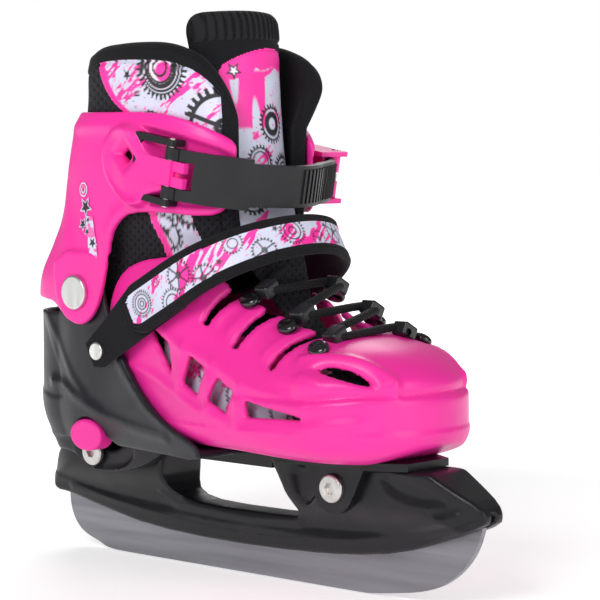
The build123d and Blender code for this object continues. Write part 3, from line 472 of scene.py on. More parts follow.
def toe_shell():
    pitch = 1.0
    x, y, z = spaced((-74, -50, 60), (109, 0, 150), pitch)
    form = foot_form(x, y, z, TOE_HALVES, TOE_CROWNS, TOE_POWER, 84.0, 62.0, (-200, 1), (60, 0.985))
    skin = even(form, pitch)
    inner = -(skin + WALL)
    flat = np.broadcast_to(-y, skin.shape)
    # toe bumper below a step, a second soft line above it, and a lower skirt along the side
    round_toe = step(x - 34, 26)
    level = 88 + 3.0 * step(x - 78, 18)
    skin = skin - 1.3 * round_toe * step(level - z, 0.8) + 0.9 * round_toe * bell(z - level - 0.6, 1.5)
    skin = skin - 0.8 * step(x - 44, 16) * bell(z - level - 9 + 0.06 * (x - 60), 3.2)
    hem = 73.5 + 0.02 * x
    skin = skin - 0.9 * step(hem - z, 0.9) * step(x + 40, 20)
    # raised sculpted panels: bar between the windows, brow over the vent, ribs along the slots
    side = skin * 0
    for points, width, height in (
        ([(-50, 96), (-30, 92), (0, 80), (30, 74), (62, 76), (90, 80)], 2.6, 0.9),
        ([(-34, 118), (-12, 107), (8, 103), (30, 94), (66, 85.5)], 2.4, 0.8),
        ([(-12, 90), (-10, 108)], 2.6, 0.9), ([(9, 82), (10, 101)], 2.6, 0.9), ([(28, 78), (29, 93)], 2.6, 0.9),
    ):
        side = side + ridge(points, x, z, width, height)
    skin = skin - side * step(flat - 28, 6)
    brow = [(62, 44), (74, 44.5), (86, 41), (95, 33), (100, 24)]
    upper = [(58, 38), (66, 35), (78, 30.2), (90, 26.6), (99, 23)]
    skin = skin - (ridge(brow, x, flat, 1.7, 1.1) + ridge(upper, x, flat, 1.7, 1.3)) * step(z - 91, 3)
    for x0, y0, x1, y1 in SLOTS:
        for shift in (-5.6 * 1.1, 5.6 * 1.1):
            line = [(x0 + shift, y0 - 1), (x1 + shift, y1 + 3)]
            skin = skin - ridge(line, x, flat, 1.5, 0.6) * step(z - 99, 3)
    body = smax(skin, inner, 0.9)
    edge = rounded([(-52, 58), (-58, 78), (-66, 98), (-68, 118), (-65, 131), (-58, 140), (-46, 144.5),
            (-35, 146),
                    (-24, 147), (-15, 142), (-6, 138.5), (4, 135.5), (14, 131), (26, 126), (36, 121.5),
                    (46, 118), (60, 116),
                    (120, 122), (120, 58)], 1)
    body = smax(body, inside(edge, x, z), 1.3)
    throat = inside([(-95, -30), (-95, 24), (-40, 26), (-12, 25), (6, 22.5), (46, 18.5), (58, 13), (64.5, 5),
            (65.5, 0),
                     (65.5, -30)], x, flat)
    body = smax(body, -smax(throat, 96 - z, 1.0), 1.4)
    for x0, y0, x1, y1 in SLOTS:
        wedge = [(x0 - 1.1, y0), (x0 + 1.1, y0 + 0.4), (x1 + 3.0, y1), (x1 - 3.0, y1)]
        body = smax(body, -smax(inside(wedge, x, flat) - 0.7, 97 - z, 1.0), 0.8)
    for points in WINDOWS:
        hole = smax(inside(points, x, z) - 0.5, 30 - flat, 1.0)
        body = smax(body, -hole, 0.7)
    vent = smax(inside(rounded(VENT, 2), x, flat), 101.4 - 0.26 * (x - 68) - z, 1.0)
    body = smax(body, -vent, 1.4)
    screws = smax(np.abs(flat - 12) - 3.3, np.abs(x - 52) - 12, 1.0)
    body = smax(body, -smax(screws, z - 70, 0.5), 0.4)
    body = smax(body, -smax(np.abs(x + 60) - 9.5, smax(flat - 30, z - 66, 0.5), 0.5), 0.4)
    whole = np.concatenate([body, body[:, -2::-1]], axis=1)
    field_object("toe_shell_look", whole, (-74, -50, 60), pitch, M["pink"], "toe_section", "toe_shell")


ANKLE = (-81, 128.5)
STRAP_STUD = (-65, 102)
HOLDER_BOLTS = ((59, 48), (-89, 51))

CUFF_ROWS = {
    "back": [(104, -127), (118, -127), (135, -126), (150, -119), (160, -114.5), (175, -111), (190, -108),
    (204, -104), (216, -98)],
    "front": [(110, 20.5), (150, 20.5), (166, 18.5), (190, 16.5), (216, 15.5)],
    "half": [(110, 39.6), (135, 39.8), (150, 40.3), (166, 40.7), (190, 41), (216, 40.5)],
    "power": [(110, 3.6), (135, 3.4), (150, 3), (166, 2.7), (190, 2.6), (216, 2.6)],
}


def cuff():
    pitch = 0.85
    low, high = (-130, -48.6, 111), (22, 44, 216)
    x, y, z = spaced(low, high, pitch)
    back, front = curve(CUFF_ROWS["back"], z), curve(CUFF_ROWS["front"], z)
    middle, reach = (back + front) / 2, (front - back) / 2
    n = curve(CUFF_ROWS["power"], z)
    form = (np.abs((x - middle) / reach) ** n + np.abs(y / curve(CUFF_ROWS["half"], z)) ** n) ** (1 / n) - 1
    skin = even(form, pitch)
    inner = -(skin + WALL)
    near = step(-y - 12, 6)
    # rolled top band and flared lower lip
    top = [(-130, 206), (-70, 206.5), (-30, 205.5), (-8, 201), (8, 196)]
    skin = skin - ridge(top, x, z, 3.4, 1.0)
    lip = [(-62, 147), (-60, 156), (-55, 163.5), (-46, 169), (-25, 171), (4, 172)]
    skin = skin - ridge(lip, x, z, 3.0, 0.8)
    # recess for the strap's fork and the raised yoke inside it, on the near side
    channel = inside(rounded([(-54, 206), (-36, 207), (-8, 200), (10, 193), (10, 170), (-8, 169), (-36, 170),
                              (-54, 178), (-63, 190)]), x, z)
    skin = skin + 1.7 * near * step(-channel - 0.5, 1.3)
    yoke = inside(rounded([(-61, 198), (-51, 206.5), (-38, 206), (-32, 201.5), (-28, 193.5), (-10, 191.5),
            (-10, 176.5),
                           (-29, 175), (-33, 169.5), (-42, 169.5), (-53, 176.5), (-61, 186)]), x, z)
    skin = skin - (3.8 + 2.7 * step(x + 48, 7)) * near * step(-yoke - 0.2, 1.5)
    gem = inside([(-43, 201), (-54, 194), (-43, 184), (-34.5, 191)], x, z)
    skin = skin + near * 3.4 * np.clip(-gem / 3.0, 0, 1)
    # long low ridge at the back of each side, over the buckle on the far side
    spine = [(-96, 122), (-92, 150), (-96, 176), (-92, 200)]
    skin = skin - ridge(spine, x, z, 5.0, 0.6) * step(np.abs(y) - 16, 6)
    body = smax(skin, inner, 1.0)
    edge = [(-140, 124), (-106, 124), (-98, 122), (-92, 117), (-86, 113.8), (-81, 113), (-75, 114.5),
            (-69, 120),
            (-64, 131), (-60, 144), (-58, 155), (-53, 162), (-45, 166.5), (-25, 167), (-2, 165), (5, 168),
            (9, 178), (12, 190),
            (10, 197), (0, 204), (-14, 209.5), (-30, 212.4), (-68, 212.5), (-104, 213), (-140, 213)]
    body = smax(body, inside(rounded(edge, 1), x, z), 1.5)
    gap = smax(-4 - x, np.abs(y) - 25, 2.0)
    body = smax(body, -gap, 1.4)
    body = smax(body, -smax(heel_form(x, y, z, -0.9), smax(z - 147, np.abs(x + 77.5) - 27.5, 1.0), 1.0), 0.8)
    ear = rounded([(-97, 128), (-91, 117), (-81, 113), (-74, 115), (-68, 121), (-64, 131), (-60, 148),
            (-97, 148)], 1)
    lug = smax(inside(ear, x, z), smax(np.abs(y) - 40.4, 37.35 - np.abs(y), 1.0), 1.0)
    body = smin(body, lug, 0.8)
    body = smax(body, -(from_axis(x, z, ANKLE) - 4.3), 0.6)
    pit = inside([(-44, 196), (-49, 193), (-44, 189), (-41, 192)], x, z)
    body = smax(body, -smax(pit, y + 20, 0.5), 0.6)
    field_object("cuff_look", body, low, pitch, M["pink"], "cuff", "cuff")


HEEL_START = -103.5
HEEL_HALVES = [(HEEL_START, 31), (-92, 34.6), (-81, 36.2), (-64, 37.3), (-50, 39.5), (-20, 44.4), (2, 47.6)]


def heel_form(x, y, z, inset):
    """Signed distance to the heel's outer wall, drawn in below z 74."""
    wide = curve(HEEL_HALVES, np.maximum(x, HEEL_START))
    radius = np.sqrt(np.minimum(x - HEEL_START, 0) ** 2 + y * y)
    draw = curve([(46, 9.0), (52, 7.0), (58, 4.6), (66, 1.5), (74, 0.0), (80, 0.0)], z)
    return radius - wide + inset + draw


def heel_base():
    pitch = 0.9
    low, high = (-137, -49, 40), (3, 49, 144)
    x, y, z = spaced(low, high, pitch)
    skin = heel_form(x, y, z, 0.0)
    flank = step(np.abs(y) - 18, 8)
    # rear panel: a sunken trapezoid with a sharp front edge, then the two sweeping ridges
    panel = [(-131, 118), (-117, 116), (-100, 86), (-96, 78), (-112, 76), (-136, 84), (-136, 112)]
    panel = inside(rounded(panel, 1), x, z)
    lines = skin * 0 + 0.5 * step(-panel, 1.0) * flank
    for points, width, height in (
        ([(-113, 116), (-100, 100), (-90, 88), (-80, 80)], 2.2, 0.6),
        ([(-108, 84), (-96, 83), (-84, 78), (-66, 71), (-44, 68), (-20, 66)], 2.8, 1.3),
        ([(-69, 124), (-62, 108), (-50, 93), (-34, 79), (-12, 69)], 2.6, 0.7),
    ):
        lines = lines - ridge(points, x, z, width, height) * flank
    skin = skin + lines
    scoop = inside(rounded([(-100, 56), (-86, 61), (-66, 60), (-60, 53), (-68, 45), (-86, 43), (-99, 46)], 2),
            x, z)
    side = rounded([(-140, 57), (-140, 117.5), (-118, 118), (-101, 118), (-96.5, 125), (-95.5, 134),
            (-90, 142), (-74, 142),
                    (-67.5, 134), (-65, 121), (-59, 109), (-49, 96), (-36, 83), (-20, 73), (-4, 66), (1.5, 63),
                    (1.5, 56),
                    (-36, 57), (-140, 57)], 1)
    shell = smax(smax(skin, -smax(heel_form(x, y, z, 3.2), 61.2 - z, 1.0), 1.0), inside(side, x, z), 1.3)
    lug_side = rounded([(-124, 49), (-104, 50.5), (-95, 43), (-81, 41.8), (-62, 44.5), (-47, 51), (-36, 59),
                        (-132, 59), (-130, 52)], 1)
    lug = smax(smax(skin, np.abs(y) - 23.5, 3.0), smax(inside(lug_side, x, z), z - 60.5, 0.5), 1.6)
    shell = smin(shell, lug, 2.0)
    housing = smax(smax(np.abs(x - BUTTON[0]) - 13.4, z - 70.3, 0.6),
            smax(y + 17.2, heel_form(x, y, z, 1.0), 0.6), 0.6)
    shell = smin(shell, smax(housing, 51 - z, 0.6), 0.8)
    # slot for the holder's post, the sole plate, bolts, button and ears
    shell = smax(shell, -smax(np.abs(y) - 14.15, z - 52.1, 0.4), 0.5)
    shell = smax(shell, -smax(smax(np.abs(y) - 11.1, z - 58.3, 0.3), -64 - x, 0.4), 0.4)
    button = np.sqrt(((x - BUTTON[0]) / 11.1) ** 2 + ((z - BUTTON[1]) / 8.1) ** 2) * 8.1 - 8.1
    shell = smax(shell, -smax(button, y - 3, 0.5), 0.6)
    bolt = from_axis(x, z, HOLDER_BOLTS[1])
    shell = smax(shell, -smax(bolt - 7.4, 21.9 - np.abs(y), 0.5), 0.8)
    shell = smax(shell, -(bolt - 3.1), 0.3)
    shell = smax(shell, -smax(scoop, 20.6 - np.abs(y), 2.0), 2.2)
    ears = smax(36.9 - np.abs(y), smax(np.abs(x + 81) - 21, 110 - z, 1.0), 0.8)
    shell = smax(shell, -ears, 0.6)
    ankle = from_axis(x, z, ANKLE)
    shell = smax(shell, -(ankle - 4.1), 0.5)
    shell = smax(shell, -smax(ankle - 6.2, np.abs(y) - 33.1, 0.3), 0.3)
    shell = smax(shell, -(from_axis(x, z, STRAP_STUD) - 1.9), 0.3)
    field_object("heel_base_look", shell, low, pitch, M["heel"], "chassis", "heel_base")


def blade_holder():
    pitch = 0.8
    low, high = (-137, -16.5, 11), (137, 16.5, 60)
    x, y, z = spaced(low, high, pitch)
    side = rounded([(-133, 27), (-123, 26.5), (-101, 22), (-66, 16), (-17, 14), (30, 15), (60, 17), (88, 21),
            (115, 30),
                    (132, 37), (134.5, 41), (131.5, 46), (118, 53), (106, 59.5), (100, 59.6), (18, 59.6),
                    (17.5, 56), (23, 48), (28, 39), (31, 32),
                    (24, 30.6), (-28, 30.2), (-46, 33), (-52, 40), (-52, 48), (-50, 53.6), (-56, 54.4),
                    (-118, 54.4), (-127, 48), (-131, 40), (-134, 32)], 1)
    outline = inside(side, x, z)
    rail = 7.5 + 6.5 * step(z - 36, 8)
    nose = 14 - 7.5 * np.clip((x - 92) / 42, 0, 1) ** 2.2 - 7.5 * np.clip((-112 - x) / 22, 0, 1) ** 2
    wide = np.minimum(rail, nose)
    ribs = ridge([(-118, 30), (-66, 24.5), (-17, 22.5), (30, 23), (62, 25), (92, 31), (122, 41)], x, z, 2.2,
            1.0)
    flare = ridge([(-56, 33), (-46, 28.5), (0, 27), (30, 28.5)], x, z, 2.0, 0.9)
    foot = 0.9 * step(20.5 + 0.00099 * (x + 5) ** 2 - z, 1.2)
    wall = np.abs(y) - wide - ribs - flare - foot
    dent = inside(rounded([(30, 55), (44, 55), (46, 44), (38, 37), (34, 41)], 1), x, z)
    wall = wall + 2.6 * step(-dent, 1.5)
    nick = inside(rounded([(82, 56), (100, 54), (120, 47), (104, 45), (88, 48)], 1), x, z)
    wall = wall + 1.2 * step(-nick, 2.0)
    body = smax(wall, outline, 1.8)
    body = smax(body, z - 58.15, 0.5)
    body = smax(body, np.where(x < -46, z - 51.95, -50), 0.4)
    slot = smax(np.abs(y) - 1.5, z - (26 + 0.0008 * (x + 10) ** 2), 0.4)
    body = smax(body, -slot, 0.3)
    for at in HOLDER_BOLTS:
        body = smax(body, -(from_axis(x, z, at) - 3.1), 0.4)
    field_object("blade_holder_look", body, low, pitch, M["black"], "chassis", "blade_holder")


# ---------------------------------------------------------------- prints


def noise(u, v, seed):
    i, j = np.floor(u), np.floor(v)

    def corner(a, b):
        n = np.sin((i + a) * 127.1 + (j + b) * 311.7 + seed * 74.7) * 43758.5453
        return n - np.floor(n)

    fu, fv = u - i, v - j
    fu, fv = fu * fu * (3 - 2 * fu), fv * fv * (3 - 2 * fv)
    low = corner(0, 0) * (1 - fu) + corner(1, 0) * fu
    return low * (1 - fv) + (corner(0, 1) * (1 - fu) + corner(1, 1) * fu) * fv


def mixed(base, colour, mask):
    return base + (np.array(colour) - base) * np.clip(mask, 0, 1)[..., None]


def gear(u, v, centre, radius, teeth, spokes=0, rings=(), ring=0.2, soft=0.22):
    """Ink mask of a flat gear: toothed rim, thin rings, spokes and a hub."""
    du, dv = u - centre[0], v - centre[1]
    r, a = np.hypot(du, dv), np.arctan2(dv, du)
    tip = radius * (1 + 0.085 * np.clip(3 * np.sin(teeth * a), -1, 1))
    mask = step(tip - r, soft) * step(r - radius * (1 - ring), soft)
    for part in rings:
        mask = np.maximum(mask, step(radius * 0.035 + 0.12 - np.abs(r - part * radius), soft))
    if spokes:
        turn = 2 * np.pi / spokes
        off = r * np.abs(np.sin((a + 0.4) % turn - turn / 2))
        mask = np.maximum(mask, step(radius * 0.06 - off, soft) * step(radius - r, soft))
        mask = np.maximum(mask, step(radius * 0.26 - r, soft) - step(radius * 0.13 - r, soft))
    return mask


def star(u, v, centre, radius, turn=0.3, soft=0.22):
    du, dv = u - centre[0], v - centre[1]
    r = np.hypot(du, dv)
    a = np.abs((np.arctan2(dv, du) + turn) % (2 * np.pi / 5) - np.pi / 5)
    a = np.pi / 5 - a
    px, py = r * np.cos(a), r * np.sin(a)
    qx, qy = radius * 0.42 * math.cos(math.pi / 5), radius * 0.42 * math.sin(math.pi / 5)
    ex, ey = qx - radius, qy
    return step((ex * py - ey * (px - radius)) / math.hypot(ex, ey), soft)


def inked(ink, u, v, gears=(), stars=(), **style):
    """Adds gears, given as gear()'s own arguments, and (centre, radius) stars to an ink mask."""
    for row in gears:
        ink = np.maximum(ink, gear(u, v, *row, **style))
    for centre, radius in stars:
        ink = np.maximum(ink, star(u, v, centre, radius))
    return ink


def splashed(u, v, seed, amount):
    """Lilac ground with slanting pink brush marks."""
    slant_u, slant_v = u * 0.8 + v * 0.6, v * 0.8 - u * 0.6
    broad = noise(slant_u / 13, slant_v / 5.5, seed)
    fine = noise(slant_u / 4.0, slant_v / 0.9, seed + 3)
    specks = noise(u / 0.9, v / 0.9, seed + 7)
    paint = np.ones(u.shape + (3,)) * np.array(LILAC)
    paint = mixed(paint, (0.60, 0.60, 0.72), 0.5 * step(noise(u / 7, v / 7, seed + 5) - 0.6, 0.2))
    paint = mixed(paint, PINK, step(broad * 0.7 + fine * 0.45 - (1.02 - amount), 0.03))
    return mixed(paint, PINK, 0.8 * step(specks - 0.93 + 0.1 * broad, 0.02))


# ---------------------------------------------------------------- soft goods


def loop_faces(rows, columns):
    """Quads of a grid of rows x columns, closed round the columns' direction."""
    r = np.arange(rows - 1)[:, None] * columns
    c = np.arange(columns)[None, :]
    d = (c + 1) % columns
    return np.stack([r + c, r + d, r + columns + d, r + columns + c], axis=-1).reshape(-1, 4)


COLLAR = {
    "back": [(116, -119), (147, -112.5), (160, -109.5), (190, -102.5), (213, -97.5), (232, -93.5), (246, -91)],
    "front": [(116, 12), (147, 14), (213, 14.5), (246, 14)],
    "half": [(116, 27.6), (146, 28.3), (152, 30.0), (160, 34.2), (190, 36.6), (207, 37.2), (220, 38.4),
    (232, 38.8), (246, 37.4)],
}
RIM = [(32, 213), (38, 222), (45, 229), (55, 236), (70, 241.5), (90, 244), (110, 243.5), (130, 241),
        (150, 238), (180, 236)]
PANEL = [(118, -30), (150, -33), (170, -36), (190, -39), (205, -44), (212, -50), (217, -57), (225, -63.5),
        (233, -66), (246, -65)]


def oval(angle, z):
    back, front, half = (curve(COLLAR[key], z) for key in ("back", "front", "half"))
    c, s = np.cos(angle), np.sin(angle)
    x = (back + front) / 2 + (front - back) / 2 * np.sign(c) * np.abs(c) ** (2 / 2.6)
    return x, half * np.sign(s) * np.abs(s) ** (2 / 2.6)


def collar():
    start = math.radians(32)
    angle = np.linspace(start, 2 * math.pi - start, 430)[:, None]
    folded = np.degrees(np.where(angle > math.pi, 2 * math.pi - angle, angle))
    top = curve(RIM, folded)
    bottom = curve([(32, 152), (50, 140), (70, 131), (100, 122), (180, 117)], folded)
    rise = np.linspace(0, 1, 56)[None, :]
    fine = np.linspace(0, 1, 90)[None, 1:]
    arc = np.linspace(0, math.pi, 17)[None, 1:-1]
    lower = bottom + (204 - bottom) * rise
    upper = 204 + (top - 4.6 - 204) * fine
    z = np.concatenate([lower, upper, top - 4.6 + 0 * arc, upper[:, ::-3], lower[:, ::-2]], axis=1)
    side = np.concatenate([1 + 0 * lower, 1 + 0 * upper, np.cos(arc) + 0 * top, -1 + 0 * upper[:, ::3],
                           -1 + 0 * lower[:, ::2]], axis=1)
    lift = np.concatenate([0 * lower, 0 * upper, np.sin(arc) + 0 * top, 0 * upper[:, ::3], 0 * lower[:, ::2]],
            axis=1)
    x, y = oval(angle, z)
    open_out = curve([(205, 0), (214, 3.2), (223, 6), (234, 4.8), (248, 3.2)], z)
    open_out = open_out * bell(np.degrees(angle) - 42, 36)
    x1, y1 = oval(angle + 0.004, z)
    x0, y0 = oval(angle - 0.004, z)
    tx, ty = x1 - x0, y1 - y0
    size = np.hypot(tx, ty)
    nx, ny = ty / size, -tx / size
    run = lengths(x[:, 130], y[:, 130])
    front = np.minimum(run, run[-1] - run)[:, None]
    edge = np.minimum(top - z, front)
    plump = 3.5 + 1.2 * bell(top - 9 - z, 9.0) + 0.2 * np.sin(folded / 6) * step(z - 214, 6)
    plump = plump * step(z - bottom + 2, 4) ** 0.5
    rounding = rolled(front, 5.5)
    half = np.maximum(plump * (0.72 + 0.28 * step(front - 10, 9)) * rounding, 0.02)
    raise_ = (0.7 * step(8.2 - edge, 0.6) - 0.9 * bell(edge - 8.8, 0.7)) * (side > 0.9)
    border = x - curve(PANEL, z)
    outside = (side > 0.9) & (edge > 8.2)
    raise_ = raise_ + np.where(outside, 0.5 * np.exp(-(np.abs(border) / 1.7) ** 4), 0)
    raise_ = raise_ * step(z - 150, 10) * rounding
    cx, cy = x - nx * 3.7 + 0.743 * open_out, y - ny * 3.7 + 0.669 * open_out
    points = np.stack([cx + nx * (half * side + raise_), cy + ny * (half * side + raise_), z + half * lift],
            axis=-1)
    u, v = x, z
    paint = splashed(u, v, 2, 0.17)
    ink = gear(u, v, (-26, 232), 13.5, 34, rings=(0.78, 0.50, 0.28), ring=0.14)
    ink = np.maximum(ink, step(1.1 - np.abs(np.hypot(u + 26, v - 232) - 8.4), 0.2))
    paint = mixed(paint, (0.96, 0.80, 0.92), step(10.5 - np.hypot(u + 26, v - 232), 0.3) * 0.7)
    paint = mixed(paint, PINK, step(4.6 - np.hypot(u + 24, v - 230), 0.4))
    ink = inked(ink, u, v, (((3, 205), 17, 30, 5), ((-34, 208), 5, 18), ((-30, 158), 9, 22, 4),
            ((-12, 172), 12, 26, 5)),
                (((-47, 229), 3.0), ((-41.5, 220), 2.2), ((-55, 236), 1.8)))
    marks = noise(u * 0.8 + v * 0.6, (v * 0.8 - u * 0.6) / 0.7, 11)
    ink = np.maximum(ink, 0.9 * step(marks - 0.90, 0.03) * step(-34 - u, 6))
    paint = mixed(paint, INK, ink)
    rim_pink = step(2.4 - np.abs(border - 1.0), 0.2)
    dash = step(0.4 - np.abs(border - 1.2), 0.12) * step(np.sin(v * 2.1) + 0.2, 0.2)
    paint = mixed(mixed(paint, PINK, rim_pink), DEEP_PINK, dash)
    columns = z.shape[1]
    faces = loop_faces(len(angle), columns)
    row, column = np.divmod(np.arange(len(faces)), columns)
    s, e, b, height = side[row, column], edge[row, column], border[row, column], z[row, column]
    slots = np.where(s < -0.2, 3, np.where((e < 8.3) | (s < 0.9), 0, np.where(b > -1.4, 2, 1)))
    slots = np.where((s > 0.9) & (height < 168) & (b > 22), 1, slots)
    piece = mesh_object("collar_look", points, faces, [M["binding"], M["mesh"], M["print"], M["lining"]], None,
                        "liner_collar", slots, paint.reshape(-1, 3))
    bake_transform(piece)


def tongue():
    path = [(60, 104.5), (44, 110.5), (31, 119.5), (22.5, 131), (16.5, 146), (12.5, 158), (9.5, 168), (4, 190),
            (1.6, 213),
            (-0.8, 238), (-3.0, 258.5)]
    p = np.array(path, float)
    run = lengths(*p.T)
    s = np.linspace(0, run[-1], 330)[:, None]
    cx, cz = curve(list(zip(run, p[:, 0])), s), curve(list(zip(run, p[:, 1])), s)
    dx, dz = np.gradient(cx[:, 0]), np.gradient(cz[:, 0])
    size = np.hypot(dx, dz)
    nx, nz = (dz / size)[:, None], (-dx / size)[:, None]
    radius = curve([(0, 70), (50, 60), (70, 36), (90, 33.5), (run[-1], 32.5)], s)
    reach = curve([(0, 12.5), (45, 12.5), (62, 20), (85, 29), (110, 31), (run[-1] - 40, 33), (run[-1], 38)], s)
    left = run[-1] - s
    corner = rolled(left, 11, 2.4)
    reach = reach * (0.72 + 0.28 * corner)
    t = np.linspace(-1, 1, 128)
    back = np.linspace(1, -1, 44)[1:-1]
    across = np.concatenate([t, back])[None, :]
    face = np.concatenate([np.ones(128), -np.ones(42)])[None, :]
    phi = across * reach / radius
    edge = np.sqrt(np.clip(1 - np.abs(across) ** 7, 0, 1))
    ends = rolled(left, 6) * np.clip(s / 3, 0, 1) ** 0.5
    half = curve([(0, 1.6), (50, 2.0), (80, 3.2), (run[-1] - 24, 3.6), (run[-1] - 8, 4.4), (run[-1], 4.0)],
            s) * edge * ends
    arc = across * reach
    arch = 241 - 0.009 * (arc - 8) ** 2 - 8 * step(-24 - arc, 5)
    level = cz + 0 * arc
    printed_zone = (np.abs(arc) < 28) & (level < arch)
    puff = (0.35 * np.sin(arc * 2 * np.pi / 3.4) * step(level - 246, 1.0) - 0.7 * bell(level - 245, 0.8)
            - 0.5 * bell(level - arch, 0.7) * (np.abs(arc) < 28.5)
            - 0.6 * bell(np.abs(arc) - 28.5, 0.8) * (level < arch)) * ends * edge * (face > 0)
    depth = half * face + puff - 3.6
    x = cx - nx * radius * (1 - np.cos(phi)) + nx * depth * np.cos(phi)
    z = cz - nz * radius * (1 - np.cos(phi)) + nz * depth * np.cos(phi)
    y = (radius + depth) * np.sin(phi)
    points = np.stack([x, y, z], axis=-1)
    u, v = arc + 0 * s, level + 0 * arc
    paint = splashed(u, v, 5, 0.22)
    top_pink = step(v - (231 - 0.009 * (u - 8) ** 2 + 2.5 * noise(u / 3, v / 9, 4)), 0.3)
    paint = mixed(paint, PINK, top_pink)
    bars = step(noise(u / 5.0, v / 40, 9) - 0.62, 0.04) * step(231 - v, 1) * step(v - 205, 1)
    paint = mixed(paint, PINK, bars)
    ink = star(u, v, (-15, 231), 4.4)
    rings = (0.62,)
    ink = inked(ink, u, v, (((6, 207), 8.5, 24, 0, rings), ((-4, 190), 7, 22, 0, rings),
            ((14, 184), 9.5, 28, 3, rings),
                            ((-12, 175), 8, 22, 4, rings)))
    ink = np.maximum(ink, step(1.3 - np.abs(np.hypot(u - 6, v - 207) - 4.0), 0.25))
    paint = mixed(paint, INK, ink)
    paint = mixed(paint, (0.9, 0.9, 1.0), star(u, v, (-15, 231), 2.3))
    columns = across.shape[1]
    faces = loop_faces(len(s), columns)
    row, column = np.divmod(np.arange(len(faces)), columns)
    zone = printed_zone[row, column] & (face[0, column] > 0) & (column < 127) & (level[row, 0] > 150)
    ribs = (level[row, 0] > 245) & (face[0, column] > 0)
    slots = np.where(zone, 2, np.where(ribs, 1, np.where(level[row, 0] < 150, 3, 0)))
    piece = mesh_object("tongue_look", points, faces[:, ::-1],
            [M["binding"], M["ribbed"], M["print"], M["mesh"]], None,
                        ["tongue_top", "tongue_base"], slots, paint.reshape(-1, 3))
    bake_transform(piece)


def instep_world(x, y, z):
    a = math.radians(28)
    c, s = math.cos(a), math.sin(a)
    return np.stack([-5 + x * c - z * s, y + 0 * x, 139 + x * s + z * c], axis=-1)


def bend_at_peel(piece):
    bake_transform(piece)


def instep_strap():
    bend = np.radians(np.linspace(-90, 90, 61))
    path = [(x, -44.6) for x in (-43, -30, -18, -8)] + [(39.5 * math.cos(a), 44.6 * math.sin(a)) for a in bend]
    path += [(x, 44.6 - (-10 - x) * 0.0676) for x in (-14, -30, -50, -78)]
    p = np.array(path)
    run = lengths(*p.T)
    s = np.linspace(0, run[-1], 580)
    px, py = np.interp(s, run, p[:, 0]), np.interp(s, run, p[:, 1])
    tx, ty = np.gradient(px), np.gradient(py)
    size = np.hypot(tx, ty)
    nx, ny = (ty / size)[:, None], (-tx / size)[:, None]
    wide = 12 - 3.0 * np.clip((px + 8) / 68, 0, 1)
    nearly = rolled(s, 12)
    far = (py > 0) * np.clip((-52 - px) / 14, 0, 1)
    high = (wide * nearly - far * 7.5 - (py > 0) * np.clip((-66 - px) / 12, 0, 1) * 1.6)[:, None]
    low = (-wide * nearly + (py > 0) * np.clip((-60 - px) / 18, 0, 1) * 2)[:, None]
    t = np.linspace(-1, 1, 60)
    across = np.concatenate([t, np.linspace(1, -1, 16)[1:-1]])[None, :]
    face = np.concatenate([np.ones(60), -np.ones(14)])[None, :]
    width = (high + low) / 2 + across * (high - low) / 2
    rim = np.minimum(np.minimum(high - width, width - low), np.minimum(s, s[-1] - s)[:, None])
    half = 1.75 * rolled(rim, 1.7)
    raised = (0.55 * step(4.4 - rim, 0.35) - 0.45 * bell(rim - 2.4, 0.4)) * (face > 0) * step(rim - 0.8, 0.6)
    depth = half * face + raised - 0.1
    points = instep_world(px[:, None] + nx * depth, py[:, None] + ny * depth, width + 0 * depth)
    u, v = s[:, None] + 0 * width, width
    paint = splashed(u, v, 8, 0.30)
    gears = (
        ((14, 0.5), 6.0, 30, 0, (0.72, 0.42, 0.2)), ((27, 6.0), 2.6, 14, 0, (0.4,)), ((41, 1.8), 6.8, 26, 6),
        ((53, -5.5), 6.0, 24, 5), ((32, -7.5), 6.5, 26, 0, (0.6,)), ((70, 3.5), 4.5, 20, 0, (0.5,)),
        ((82, -4), 5.5, 22, 4), ((98, 2), 6.2, 26, 0, (0.66, 0.3)), ((112, -3), 4.0, 18, 3),
        ((126, 1.5), 6.0, 24, 5), ((141, -2), 4.6, 20, 0, (0.5,)), ((160, 2), 6.0, 24, 6),
        ((182, 0), 5.4, 22, 4),
    )
    stars = (((62, -2), 2.0), ((90, 4.5), 1.8), ((119, 4), 1.8), ((150, 4), 1.8))
    ink = inked(0 * u, u, v, gears, stars, ring=0.13, soft=0.2)
    paint = mixed(paint, INK, 0.92 * ink)
    columns = across.shape[1]
    faces = loop_faces(len(s), columns)
    row, column = np.divmod(np.arange(len(faces)), columns)
    middle = rim[row, column]
    slots = np.where((face[0, column] > 0) & (middle > 4.5) & (column < 59), 1, 0)
    piece = mesh_object("instep_strap_look", points, faces, [M["tape"], M["print"]], None,
            ["instep_strap", "strap_end"],
                        slots, paint.reshape(-1, 3))
    bend_at_peel(piece)
    thread(px, py, nx, ny, high, low, s)


